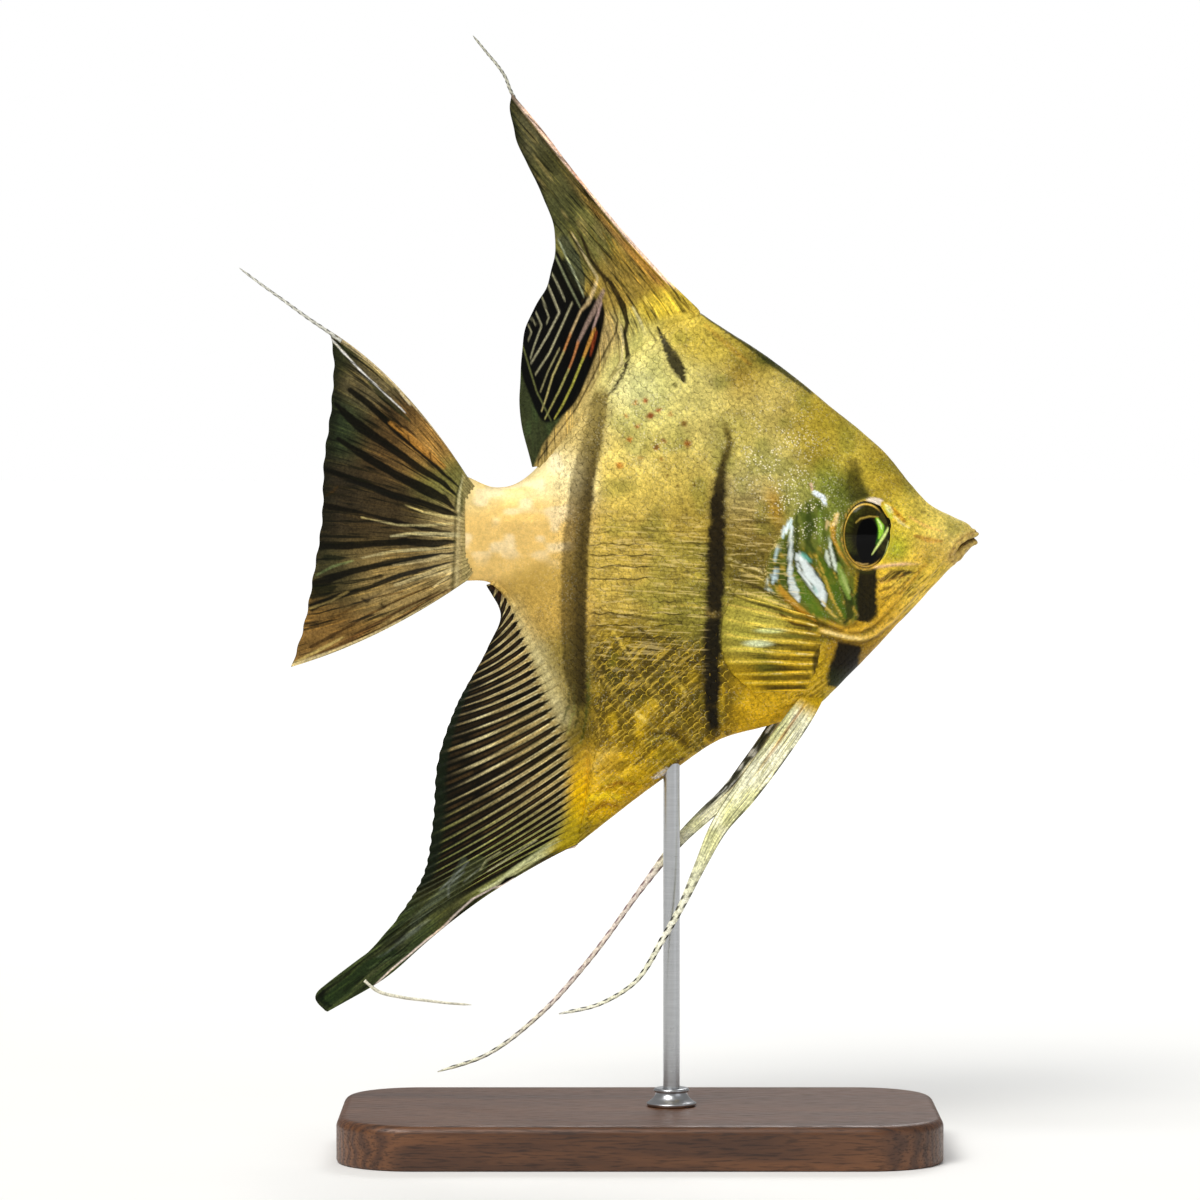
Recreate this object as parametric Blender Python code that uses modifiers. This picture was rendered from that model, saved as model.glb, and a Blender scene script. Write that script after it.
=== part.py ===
"""A freshwater angelfish as a still, life-size model, held by one rod on a plain wooden base.

+X is the way the fish faces, +Y its left and +Z up. The base's underside is at z = 0.
"""

import math

import bmesh
import bpy
import numpy as np

# Lengths are in millimetres until a point is placed in the scene. The fish is drawn in its own
# frame: x forward from the root of the tail fin, y to its left, z up from the tail stalk's axis.
MM = 0.001
FISH_AT = np.array([-25.2, 0.0, 112.3])
GAP = 0.3
WELD = 0.00001

FIN_THICKNESS = 0.6
STREAMER_RADIUS = 0.35
GILL_COVER_DEPTH = 1.2

# Stations of the body from the tail's root to the roots of the dorsal and anal fins, then on to
# the snout: back x, back z, belly x, belly z, half the width.
REAR_BODY = [
    (0.0, 9.5, 0.0, -9.5, 1.5),
    (5.0, 7.6, 4.0, -9.8, 2.4),
    (9.5, 8.5, 7.5, -12.5, 3.1),
    (14.0, 12.5, 11.2, -18.7, 3.9),
    (19.5, 19.5, 16.2, -28.8, 4.9),
    (26.3, 27.9, 20.3, -36.0, 5.7),
    (31.3, 33.3, 21.6, -42.5, 6.2),
    (36.6, 37.2, 21.2, -49.5, 6.4),
    (42.1, 38.9, 20.0, -57.1, 6.5),
]
FRONT_BODY = [
    (42.1, 38.9, 20.0, -57.1, 6.5),
    (47.2, 35.5, 28.1, -50.8, 6.8),
    (52.9, 31.9, 36.4, -44.6, 7.1),
    (60.1, 26.6, 45.4, -38.3, 7.4),
    (65.5, 22.1, 54.7, -35.6, 7.6),
    (70.9, 17.8, 62.3, -32.8, 7.5),
    (75.7, 13.4, 68.8, -26.8, 7.0),
    (79.9, 8.3, 75.7, -19.6, 6.1),
    (83.5, 4.5, 81.6, -13.4, 5.0),
    (87.1, 2.5, 86.6, -8.0, 3.8),
    (90.1, 1.1, 89.8, -4.8, 2.6),
    (91.2, 0.0, 91.3, -3.0, 1.5),
]

# Where the body is parted: each cut is a line seen from the side.
HEAD_CUT = [(74, 34), (66.4, 17.6), (57, 5.5), (52.3, -6), (53.5, -15), (61, -22.6), (67, -28), (71, -38)]
JAW_CUT = [(94, -0.4), (91, -1.8), (87.6, -4.6), (83, -8.5), (79, -13), (76, -19), (74, -26)]
STALK_CUT = [(9, -30), (10, 0), (12, 30)]
GILL_COVER = [
    (64.8, 6.0), (58.6, 3.4), (55.2, -3.0), (54.8, -9.4), (57.4, -15.0),
    (62.8, -18.6), (69.6, -19.6), (71.0, -16.4), (67.6, -10.4), (65.2, -4.0), (64.6, 1.4),
]

EYE_AT = (71.6, 4.2, -1.1)
EYE_RADII = (4.5, 3.3, 6.0)
EYE_TURN = math.radians(-13)

# Fins: the free edge is drawn in two strokes that meet at the fin's point.
DORSAL_FRONT = [(41.6, 39.6), (36.4, 44.6), (29.7, 51.8), (17.8, 66.2), (12.4, 73.2), (7.9, 78.5)]
DORSAL_REAR = [
    (7.9, 78.5), (8.0, 74.0), (9.3, 69.0), (12.6, 62.2), (16.0, 52.4), (14.8, 44.5),
    (10.8, 36.5), (9.8, 28.0), (9.7, 20.5), (11.9, 11.0),
]
DORSAL_STREAMER = [(7.8, 79.0), (7.2, 80.8), (5.6, 83.2), (4.0, 85.1), (1.3, 88.4)]
ANAL_FRONT = [(19.6, -57.6), (16.5, -58.3), (8.5, -63.2), (-2.7, -70.6), (-15.5, -81.8), (-25.2, -87.3)]
ANAL_REAR = [
    (-25.2, -87.3), (-27.4, -85.2), (-20.8, -79.4), (-12.6, -70.4), (-7.8, -62.4), (-6.1, -53.0),
    (-5.2, -42.1), (-2.1, -32.6), (4.0, -21.2), (6.2, -15.6), (3.6, -10.2),
]
ANAL_STREAMER = [(-16.2, -83.6), (-11.9, -84.6), (-7.4, -85.2), (-3.2, -85.7), (0.9, -86.0)]
TAIL_EDGE = [
    (-24.6, 35.6), (-23.9, 31.0), (-24.2, 23.0), (-25.6, 12.0), (-26.0, 1.4),
    (-27.4, -7.5), (-29.6, -18.5), (-31.6, -25.0),
]
TAIL_STREAMER = [(-25.2, 35.6), (-28.1, 37.6), (-32.8, 41.0), (-37.8, 44.6), (-40.7, 46.8)]
# How far a ray's middle is drawn away from its chord: the dorsal rays rise before they sweep back.
DORSAL_BOW = (11.0, 2.0)
DORSAL_BOW_AT = 0.52
DORSAL_BOW_SPAN = 0.22
TAIL_TOP_BOW = (0.8, 5.0)
TAIL_FOOT_BOW = (0.0, -3.2)
# How near the tail stalk's axis the roots of the dorsal and anal fins come, and the tail fin's root.
DORSAL_REACH = 11.2
ANAL_REACH = -9.95
TAIL_ROOT_HEIGHT = 19.8

PECTORAL_ROOT = [(64.6, -17.6), (64.9, -21.0)]
PECTORAL_EDGE = [(47.5, -12.0), (45.6, -17.0), (45.6, -22.0), (48.5, -27.6), (53.5, -31.0)]
PECTORAL_SIDE = 7.4
PECTORAL_SPREAD = 3.2

# Pelvic fins run out into long streamers: x, side, z, breadth. The right one lies in front.
PELVIC_RIGHT = [
    (60.4, -4.0, -32.4, 4.2), (55.6, -3.6, -39.9, 4.7), (49.9, -3.4, -47.7, 4.4), (45.5, -3.4, -53.6, 3.2),
    (42.1, -3.7, -60.5, 2.1), (39.1, -4.0, -67.0, 1.4), (35.1, -4.3, -74.2, 1.1), (30.4, -4.6, -81.4, 0.8),
    (24.1, -4.8, -85.3, 0.7), (16.7, -5.0, -87.1, 0.7),
]
PELVIC_LEFT = [
    (58.6, 4.0, -33.2, 4.0), (52.2, 3.6, -42.3, 4.0), (47.2, 3.4, -48.1, 3.0), (42.8, 3.4, -52.2, 2.6),
    (39.8, 3.7, -55.1, 2.2), (36.4, 3.9, -59.0, 1.7), (32.0, 4.2, -64.8, 1.1), (22.3, 4.6, -78.1, 0.9),
    (13.3, 5.0, -88.2, 0.8), (3.2, 5.2, -95.8, 0.7), (-5.4, 5.4, -98.8, 0.7),
]

# The stand, in the scene's own place. The rod is at a fish x, and goes this far up into the belly.
BASE_SIZE = (108.0, 58.0, 8.0)
BASE_X = 6.0
BASE_CORNER = 14.0
BASE_ROUNDING = 1.6
ROD_RADIUS = 1.5
ROD_IN_FISH = (37.0, 4.0)
COLLAR_RADIUS = 4.5
COLLAR_HEIGHT = 3.0

# Colour, roughness and metallic value of each material.
MATERIALS = {
    "fish_skin": ((0.50, 0.36, 0.09), 0.4, 0.2),
    "fin_web": ((0.12, 0.09, 0.04), 0.5, 0.0),
    "pelvic_web": ((0.70, 0.68, 0.38), 0.5, 0.0),
    "eye_glass": ((0.02, 0.02, 0.01), 0.1, 0.0),
    "base_walnut": ((0.11, 0.055, 0.028), 0.45, 0.0),
    "rod_steel": ((0.55, 0.55, 0.56), 0.3, 1.0),
}


def clear_scene():
    for obj in list(bpy.data.objects):
        bpy.data.objects.remove(obj)


def collection(name, hidden=False):
    made = bpy.data.collections.new(name)
    bpy.context.scene.collection.children.link(made)
    made.hide_render = hidden
    return made


def material(name):
    colour, roughness, metallic = MATERIALS[name]
    made = bpy.data.materials.get(name)
    if made:
        return made
    made = bpy.data.materials.new(name)
    made.use_nodes = True
    shader = made.node_tree.nodes["Principled BSDF"]
    shader.inputs["Base Color"].default_value = (*colour, 1)
    shader.inputs["Roughness"].default_value = roughness
    shader.inputs["Metallic"].default_value = metallic
    return made


def through(knots, values, at):
    """Values at the places `at`, on the cubic that passes smoothly through one value at each knot."""
    knots = np.asarray(knots, float)
    values = np.asarray(values, float)
    slopes = np.gradient(values, knots, axis=0)
    i = np.clip(np.searchsorted(knots, at, side="right") - 1, 0, len(knots) - 2)
    width = (knots[i + 1] - knots[i])[:, None]
    t = (np.asarray(at)[:, None] - knots[i][:, None]) / width
    from_value = (1 + 2 * t) * (1 - t) ** 2 * values[i] + t**2 * (3 - 2 * t) * values[i + 1]
    from_slope = t * (1 - t) ** 2 * slopes[i] - t**2 * (1 - t) * slopes[i + 1]
    return from_value + width * from_slope


def stroke(points, at):
    """Points of a smooth line at the shares `at` of its length, from 0 to 1."""
    points = np.asarray(points, float)
    steps = np.linalg.norm(np.diff(points[:, :2], axis=0), axis=1)
    along = np.concatenate([[0], np.cumsum(steps)])
    return through(along, points, np.asarray(at) * along[-1])


def two_strokes(first, second, share, at):
    """The first line up to `share`, then the second."""
    at = np.asarray(at)
    early = stroke(first, np.clip(at / share, 0, 1))
    late = stroke(second, np.clip((at - share) / (1 - share), 0, 1))
    return np.where(at[:, None] <= share, early, late)


def shifted(line, distance):
    """An x-z line moved to its own left by `distance`."""
    run = np.gradient(line, axis=0)
    run /= np.linalg.norm(run, axis=1)[:, None]
    return line + distance * np.stack([-run[:, 1], run[:, 0]], axis=1)


def stations(at):
    """The body's columns at `at`: 0 is the tail, 1 the roots of the fins and 2 the snout."""
    rear = through(np.linspace(0, 1, len(REAR_BODY)), REAR_BODY, np.minimum(at, 1))
    front = through(np.linspace(1, 2, len(FRONT_BODY)), FRONT_BODY, np.maximum(at, 1))
    return np.where(at[:, None] < 1, rear, front)


def surface(name, place, rows, columns):
    """A grid moved to place(u, v), both from 0 to 1, with edges that meet welded and open ends filled."""
    mesh = bmesh.new()
    bmesh.ops.create_grid(mesh, x_segments=rows, y_segments=columns, size=1)
    flat = np.array([vert.co for vert in mesh.verts])
    moved = place((flat[:, 0] + 1) / 2, (flat[:, 1] + 1) / 2)
    for vert, point in zip(mesh.verts, (moved + FISH_AT) * MM):
        vert.co = point
    bmesh.ops.remove_doubles(mesh, verts=mesh.verts, dist=WELD)
    return mesh


def object_from(mesh, name, where, material_name=None):
    bmesh.ops.recalc_face_normals(mesh, faces=mesh.faces)
    data = bpy.data.meshes.new(name)
    mesh.to_mesh(data)
    mesh.free()
    made = bpy.data.objects.new(name, data)
    where.objects.link(made)
    if material_name:
        data.materials.append(material(material_name))
    return made


def body(name, where, inset=0.0, material_name=None):
    """The whole fish without its fins, its sides moved in by `inset`. Each section is a lens."""

    def place(u, v):
        station = stations(2 * u)
        height = (1 - np.cos(2 * np.pi * v)) / 2
        across = np.abs(2 * height - 1)
        fullness = 0.72 - 0.14 * u
        half = np.maximum(station[:, 4] - inset, 0.2)
        side = np.where(v < 0.5, 1, -1) * half * np.maximum(1 - across**2.1, 0) ** fullness
        line = station[:, 2:4] + height[:, None] * (station[:, 0:2] - station[:, 2:4])
        return np.stack([line[:, 0], side, line[:, 1]], axis=1)

    mesh = surface(name, place, 40, 28)
    bmesh.ops.holes_fill(mesh, edges=mesh.edges, sides=0)
    return object_from(mesh, name, where, material_name)


def prism(name, outline, y_from, y_to, cutters):
    """A cutter: an x-z outline extruded from y_from to y_to."""
    mesh = bmesh.new()
    corners = [mesh.verts.new((np.array([x, y_from, z]) + FISH_AT) * MM) for x, z in outline]
    face = mesh.faces.new(corners)
    made = bmesh.ops.extrude_face_region(mesh, geom=[face])["geom"]
    moved = [item for item in made if isinstance(item, bmesh.types.BMVert)]
    bmesh.ops.translate(mesh, verts=moved, vec=(0, (y_to - y_from) * MM, 0))
    return cutter(object_from(mesh, name, cutters))


def cutter(obj):
    obj.hide_render = True
    obj.display_type = "WIRE"
    return obj


def beyond(name, cut, shift, corners, cutters):
    """A cutter for all that lies to the left of a cut, whose line is first moved left by `shift`."""
    line = shifted(stroke(cut, np.linspace(0, 1, 16)), shift)
    return prism(name, [*line, *corners], -20, 20, cutters)


def boolean(obj, operation, other):
    step = obj.modifiers.new(operation.lower() + "_" + other.name, "BOOLEAN")
    step.operation = operation
    step.solver = "EXACT"
    step.object = other


def gill_shell(name, side, growth, depth, cutters):
    """A cutter for one gill cover: its outline grown by `growth`, outside the body inset by `depth`."""
    turn = np.linspace(0, 1, 25)[:-1]
    loop = stroke([*GILL_COVER, GILL_COVER[0]], turn)
    middle = loop.mean(axis=0)
    away = loop - middle
    grown = loop + growth * away / np.linalg.norm(away, axis=1)[:, None]
    shell = prism(name, grown, side * 0.5, side * 20, cutters)
    core = cutter(body(name + "_core", cutters, inset=depth))
    boolean(shell, "DIFFERENCE", core)
    return shell


def eye(name, side, growth, where, material_name=None):
    mesh = bmesh.new()
    bmesh.ops.create_uvsphere(mesh, u_segments=20, v_segments=12, radius=1)
    made = object_from(mesh, name, where, material_name)
    made.location = (np.array(EYE_AT) * (1, side, 1) + FISH_AT) * MM
    made.scale = [(radius + growth) * MM for radius in EYE_RADII]
    made.rotation_euler.z = side * EYE_TURN
    return made


def flesh(model, cutters):
    """The head, lower jaw, gill covers, eyes, trunk and tail stalk, parted by cuts as wide as GAP."""
    half = GAP / 2
    front = [(120, -60), (120, 60)]
    low = [(60, -60), (120, -60), (120, 10)]
    back = [(-20, 40), (-20, -40)]
    in_head = beyond("cut_head", HEAD_CUT, half, front, cutters)
    out_head = beyond("cut_head_wide", HEAD_CUT, -half, front, cutters)
    in_jaw = beyond("cut_jaw", JAW_CUT, half, low, cutters)
    out_jaw = beyond("cut_jaw_wide", JAW_CUT, -half, low, cutters)
    in_stalk = beyond("cut_stalk", STALK_CUT, half, back, cutters)
    out_stalk = beyond("cut_stalk_wide", STALK_CUT, -half, back, cutters)

    head = body("head", model, material_name="fish_skin")
    boolean(head, "INTERSECT", in_head)
    boolean(head, "DIFFERENCE", out_jaw)
    jaw = body("lower_jaw", model, material_name="fish_skin")
    boolean(jaw, "INTERSECT", in_jaw)
    for side, end in ((1, "left"), (-1, "right")):
        cover = body("gill_cover_" + end, model, material_name="fish_skin")
        boolean(cover, "INTERSECT", gill_shell("shell_" + end, side, 0, GILL_COVER_DEPTH, cutters))
        wide = gill_shell("shell_wide_" + end, side, GAP, GILL_COVER_DEPTH + GAP, cutters)
        boolean(head, "DIFFERENCE", wide)
        eye("eye_" + end, side, 0, model, "eye_glass")
        socket = cutter(eye("socket_" + end, side, GAP, cutters))
        boolean(head, "DIFFERENCE", socket)
    trunk = body("trunk", model, material_name="fish_skin")
    boolean(trunk, "DIFFERENCE", out_head)
    boolean(trunk, "DIFFERENCE", out_stalk)
    boolean(trunk, "DIFFERENCE", cutter(rod("rod_hole", GAP, cutters)))
    stalk = body("tail_stalk", model, material_name="fish_skin")
    boolean(stalk, "INTERSECT", in_stalk)


def body_edge(side, reach, at):
    """The back (side 0) or belly (side 1) between the fin's first ray and the place where z is `reach`."""
    fine = stations(np.linspace(1, 0, 200))[:, 2 * side : 2 * side + 2]
    ends = np.nonzero(np.abs(fine[:, 1]) < abs(reach))[0]
    return stroke(fine[: ends[0] + 1], at)


def fin(name, root, edge, model, columns, rows=6, bow=None, side=None, material_name="fin_web"):
    """A thin web of rays from root(u) to edge(u), x-z lines, bent by bow(u) and set out to y = side(u, v)."""

    def place(u, v):
        start, end = root(u), edge(u)
        middle = (start + end) / 2 + (0 if bow is None else bow(u))
        step = v[:, None]
        ray = (1 - step) ** 2 * start + 2 * step * (1 - step) * middle + step**2 * end
        out = np.zeros(len(u)) if side is None else side(u, v)
        return np.stack([ray[:, 0], out, ray[:, 1]], axis=1)

    made = object_from(surface(name, place, columns, rows), name, model, material_name)
    web = made.modifiers.new("web", "SOLIDIFY")
    web.thickness = FIN_THICKNESS * MM
    web.offset = 0
    return made


def streamer(name, points, model):
    """A fine tapering thread that carries a fin's point on."""
    line = stroke(points, np.linspace(0, 1, 12))
    data = bpy.data.curves.new(name, "CURVE")
    data.dimensions = "3D"
    data.bevel_depth = STREAMER_RADIUS * MM
    data.bevel_resolution = 1
    data.use_fill_caps = True
    spline = data.splines.new("POLY")
    spline.points.add(len(line) - 1)
    for point, (x, z) in zip(spline.points, line):
        point.co = (*(np.array([x, 0, z]) + FISH_AT) * MM, 1)
    data.materials.append(material("fin_web"))
    made = bpy.data.objects.new(name, data)
    model.objects.link(made)


def ribbon(name, stations_of_fin, model):
    """A pelvic fin: an oval section that narrows along its line into a thread."""
    table = np.array(stations_of_fin)[:, [0, 2, 1, 3]]

    def place(u, v):
        line = stroke(table, u)
        ahead = stroke(table, np.minimum(u + 0.01, 1)) - stroke(table, np.maximum(u - 0.01, 0))
        run = ahead[:, :2] / np.linalg.norm(ahead[:, :2], axis=1)[:, None]
        around = 2 * np.pi * v
        out = np.cos(around) * line[:, 3] / 2
        x = line[:, 0] - run[:, 1] * out
        z = line[:, 1] + run[:, 0] * out
        return np.stack([x, line[:, 2] + np.sin(around) * STREAMER_RADIUS, z], axis=1)

    mesh = surface(name, place, 24, 8)
    bmesh.ops.holes_fill(mesh, edges=mesh.edges, sides=0)
    object_from(mesh, name, model, "pelvic_web")


def dorsal_bow(u):
    return np.exp(-(((u - DORSAL_BOW_AT) / DORSAL_BOW_SPAN) ** 2))[:, None] * np.array(DORSAL_BOW)


def tail_bow(u):
    return (1 - u)[:, None] * np.array(TAIL_TOP_BOW) + u[:, None] * np.array(TAIL_FOOT_BOW)


def dorsal_root(u):
    return shifted(body_edge(0, DORSAL_REACH, u), -GAP)


def dorsal_edge(u):
    return two_strokes(DORSAL_FRONT, DORSAL_REAR, 0.5, u)


def anal_root(u):
    return shifted(body_edge(1, ANAL_REACH, u), GAP)


def anal_edge(u):
    return two_strokes(ANAL_FRONT, ANAL_REAR, 0.25, u)


def tail_root(u):
    return np.stack([np.full(len(u), -GAP), TAIL_ROOT_HEIGHT * (0.5 - u)], axis=1)


def tail_edge(u):
    return stroke(TAIL_EDGE, u)


def pectoral_root(u):
    return stroke(PECTORAL_ROOT, u)


def pectoral_edge(u):
    return stroke(PECTORAL_EDGE, u)


def in_order(line):
    """A line function that works on unsorted shares: it's worked out once for each share, in order."""

    def sampled(u):
        shares, index = np.unique(np.round(u, 6), return_inverse=True)
        return line(shares)[index.reshape(-1)]

    return sampled


def fins(model):
    fin("dorsal_fin", in_order(dorsal_root), dorsal_edge, model, 28, bow=dorsal_bow)
    fin("anal_fin", in_order(anal_root), anal_edge, model, 32)
    fin("tail_fin", tail_root, tail_edge, model, 16, bow=tail_bow)
    streamer("dorsal_streamer", DORSAL_STREAMER, model)
    streamer("anal_streamer", ANAL_STREAMER, model)
    streamer("tail_streamer", TAIL_STREAMER, model)
    for side, end in ((1, "left"), (-1, "right")):

        def fan(u, v, side=side):
            return side * (PECTORAL_SIDE + PECTORAL_SPREAD * v)

        fin("pectoral_fin_" + end, pectoral_root, pectoral_edge, model, 10, rows=5, side=fan)
    ribbon("pelvic_fin_right", PELVIC_RIGHT, model)
    ribbon("pelvic_fin_left", PELVIC_LEFT, model)


def upright(name, bottom, top, radii, sides, where, material_name=None):
    """A round solid on the rod's axis: radii are those of its bottom and its top."""
    mesh = bmesh.new()
    low, high = (radius * MM for radius in radii)
    height = (top - bottom) * MM
    bmesh.ops.create_cone(mesh, cap_ends=True, segments=sides, radius1=low, radius2=high, depth=height)
    place = ((ROD_IN_FISH[0] + FISH_AT[0]) * MM, 0, (top + bottom) / 2 * MM)
    bmesh.ops.translate(mesh, verts=mesh.verts, vec=place)
    return object_from(mesh, name, where, material_name)


def rod(name, growth, where, material_name=None):
    """The rod, from the base's top to its depth in the belly, or a cutter grown all over by `growth`."""
    x, depth = ROD_IN_FISH
    belly = stations(np.linspace(1, 2, 400))[:, 2:4]
    top = np.interp(x, belly[:, 0], belly[:, 1]) + FISH_AT[2] + depth
    radii = (ROD_RADIUS + growth, ROD_RADIUS + growth)
    foot = BASE_SIZE[2] + GAP
    return upright(name, foot - growth, top + growth, radii, 20, where, material_name)


def stand(model, cutters):
    mesh = bmesh.new()
    bmesh.ops.create_cube(mesh, size=1)
    for vert in mesh.verts:
        vert.co = (np.array(vert.co) * BASE_SIZE + (BASE_X, 0, BASE_SIZE[2] / 2)) * MM
    posts = [edge for edge in mesh.edges if abs(edge.verts[0].co.z - edge.verts[1].co.z) > MM]
    bmesh.ops.bevel(mesh, geom=posts, offset=BASE_CORNER * MM, segments=8, profile=0.5, affect="EDGES")
    top = (BASE_SIZE[2] - 0.1) * MM
    rim = [edge for edge in mesh.edges if min(vert.co.z for vert in edge.verts) > top]
    bmesh.ops.bevel(mesh, geom=rim, offset=BASE_ROUNDING * MM, segments=3, profile=0.5, affect="EDGES")
    object_from(mesh, "stand_base", model, "base_walnut")

    rod("stand_rod", 0, model, "rod_steel")
    foot = BASE_SIZE[2] + GAP
    radii = (COLLAR_RADIUS, COLLAR_RADIUS - 1)
    collar = upright("stand_collar", foot, foot + COLLAR_HEIGHT, radii, 28, model, "rod_steel")
    boolean(collar, "DIFFERENCE", cutter(rod("collar_bore", GAP, cutters)))


def main():
    clear_scene()
    model = collection("freshwater_angelfish")
    cutters = collection("cutters", hidden=True)
    flesh(model, cutters)
    fins(model)
    stand(model, cutters)


main()
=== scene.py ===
import math

import bpy
import numpy as np
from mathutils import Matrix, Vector


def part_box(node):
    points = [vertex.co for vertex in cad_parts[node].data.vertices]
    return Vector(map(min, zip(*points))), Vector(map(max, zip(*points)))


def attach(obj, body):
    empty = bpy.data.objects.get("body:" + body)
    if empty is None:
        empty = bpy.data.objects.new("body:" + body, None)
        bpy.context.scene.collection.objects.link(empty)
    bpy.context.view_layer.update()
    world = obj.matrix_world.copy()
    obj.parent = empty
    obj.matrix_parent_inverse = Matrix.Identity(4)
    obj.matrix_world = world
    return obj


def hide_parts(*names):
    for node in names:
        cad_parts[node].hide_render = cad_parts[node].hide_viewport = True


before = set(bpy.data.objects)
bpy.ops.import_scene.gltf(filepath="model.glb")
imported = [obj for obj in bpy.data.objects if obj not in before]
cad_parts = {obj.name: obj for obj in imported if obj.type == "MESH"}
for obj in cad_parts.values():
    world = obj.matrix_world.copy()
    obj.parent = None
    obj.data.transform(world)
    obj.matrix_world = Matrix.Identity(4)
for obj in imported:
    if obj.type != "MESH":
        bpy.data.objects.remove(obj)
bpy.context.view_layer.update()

# Lengths are in millimetres in the fish's own frame: x forward from the root of the tail fin, y to its
# left, z up from the tail stalk's axis. The solids give its size and place.
bodyLength = 91.3
eyeLevel = -1.1
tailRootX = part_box("tail_stalk")[0].x
eyeLow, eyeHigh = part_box("eye_left")
mm = (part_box("lower_jaw")[1].x - tailRootX) / bodyLength
fishAt = np.array([tailRootX, 0.0, (eyeLow.z + eyeHigh.z) / 2 - eyeLevel * mm])
print("frame read: 1 mm of the fish is", round(mm * 1000, 4), "mm")


def through(knots, values, at):
    # The cubic that passes smoothly through one value at each knot: each span blends its two end values
    # and its two end slopes, and a slope is the mean gradient of the neighbouring knots.
    knots, values = np.asarray(knots, float), np.asarray(values, float)
    slopes = np.gradient(values, knots, axis=0)
    i = np.clip(np.searchsorted(knots, at, side="right") - 1, 0, len(knots) - 2)
    width = (knots[i + 1] - knots[i])[:, None]
    t = (np.asarray(at)[:, None] - knots[i][:, None]) / width
    fromValue = (1 + 2 * t) * (1 - t) ** 2 * values[i] + t**2 * (3 - 2 * t) * values[i + 1]
    fromSlope = t * (1 - t) ** 2 * slopes[i] - t**2 * (1 - t) * slopes[i + 1]
    return fromValue + width * fromSlope


def stroke(points, at):
    # Points of a smooth line at the shares `at` of its length.
    points = np.asarray(points, float)
    steps = np.linalg.norm(np.diff(points[:, :2], axis=0), axis=1)
    along = np.concatenate([[0], np.cumsum(steps)])
    return through(along, points, np.asarray(at) * along[-1])


def twoStrokes(first, second, share, at):
    # The first line up to `share`, then the second.
    early = stroke(first, np.clip(at / share, 0, 1))
    late = stroke(second, np.clip((at - share) / (1 - share), 0, 1))
    return np.where(at[:, None] <= share, early, late)


def shifted(line, distance):
    # A line moved to its own left by `distance`.
    run = np.gradient(line, axis=0)
    run /= np.linalg.norm(run, axis=1)[:, None] + 1e-9
    return line + distance * np.stack([-run[:, 1], run[:, 0]], axis=1)


def smooth(low, high, value):
    # 0 below `low`, 1 above `high` and an S-shaped rise between; low may be above high.
    t = np.clip((value - low) / (high - low), 0, 1)
    return t * t * (3 - 2 * t)


def bell(distance, reach):
    # 1 at no distance, falling on both sides: e to the power -(distance / reach) squared.
    return np.exp(-((distance / reach) ** 2))


def fromLine(x, z, line, values=None):
    # Distance of each point from a line of points, and the line's value (such as its width) at the nearest
    # place.
    line = np.asarray(line, float)
    start, step = line[:-1, :2], np.diff(line[:, :2], axis=0)
    away = np.stack([x, z], axis=-1)[:, None, :] - start
    t = np.clip((away * step).sum(-1) / (step**2).sum(-1), 0, 1)
    gaps = np.linalg.norm(away - t[..., None] * step, axis=-1)
    nearest = gaps.argmin(1)
    every = np.arange(len(gaps))
    if values is None:
        values = np.linspace(0, 1, len(line))
    values = np.asarray(values, float)
    share = t[every, nearest]
    return gaps[every, nearest], values[nearest] * (1 - share) + values[nearest + 1] * share


def ovalShare(x, z, middle, reach):
    # How far out a point lies in an upright oval: 0 at its middle, 1 on it.
    return np.hypot((x - middle[0]) / reach[0], (z - middle[1]) / reach[1])


def loopShare(x, z, loop):
    # How far out a point lies in a loop that a star could fill: 0 at its middle, 1 on it. Also the loop's
    # radius there.
    loop = np.asarray(loop, float)
    fine = stroke(np.vstack([loop, loop[:1]]), np.linspace(0, 1, 120)[:-1])
    middle = fine.mean(axis=0)
    angle = np.arctan2(fine[:, 1] - middle[1], fine[:, 0] - middle[0])
    order = np.argsort(angle)
    radius = np.hypot(*(fine - middle).T)[order]
    turn = np.arctan2(z - middle[1], x - middle[0])
    reach = np.interp(turn, angle[order], radius, period=2 * np.pi)
    return np.hypot(x - middle[0], z - middle[1]) / reach, reach


def cloudy(x, z, size, seed):
    # Smooth mottling from 0 to 1: random values on a lattice of `size`, blended by S-shaped steps.
    table = np.random.default_rng(seed).random((97, 97))
    a, b = np.asarray(x) / size + 300.0, np.asarray(z) / size + 300.0
    i, j = np.floor(a).astype(int), np.floor(b).astype(int)
    s, t = smooth(0, 1, a - i), smooth(0, 1, b - j)
    low = table[i % 97, j % 97] * (1 - s) + table[(i + 1) % 97, j % 97] * s
    high = table[i % 97, (j + 1) % 97] * (1 - s) + table[(i + 1) % 97, (j + 1) % 97] * s
    return low * (1 - t) + high * t


def linear(hexColour):
    # sRGB hex to linear light: c / 12.92 for the darkest, else ((c + 0.055) / 1.055) to the power 2.4.
    c = np.array([int(hexColour[i : i + 2], 16) for i in (0, 2, 4)]) / 255
    return np.where(c <= 0.04045, c / 12.92, ((c + 0.055) / 1.055) ** 2.4)


def blendedTones(x, z, places):
    # A soft blend of named tones: each weighs as a bell round its own place.
    total, weights = np.zeros((len(x), 3)), np.zeros(len(x))
    for at, reach, colour in places.values():
        weight = bell(ovalShare(x, z, at, (1, 1)), reach) + 1e-9
        total += weight[:, None] * linear(colour)
        weights += weight
    return total / weights[:, None]


def over(base, colour, strength):
    # A tone laid over others with a strength from 0 to 1.
    return base + np.clip(strength, 0, 1)[:, None] * (linear(colour) - base)


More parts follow.
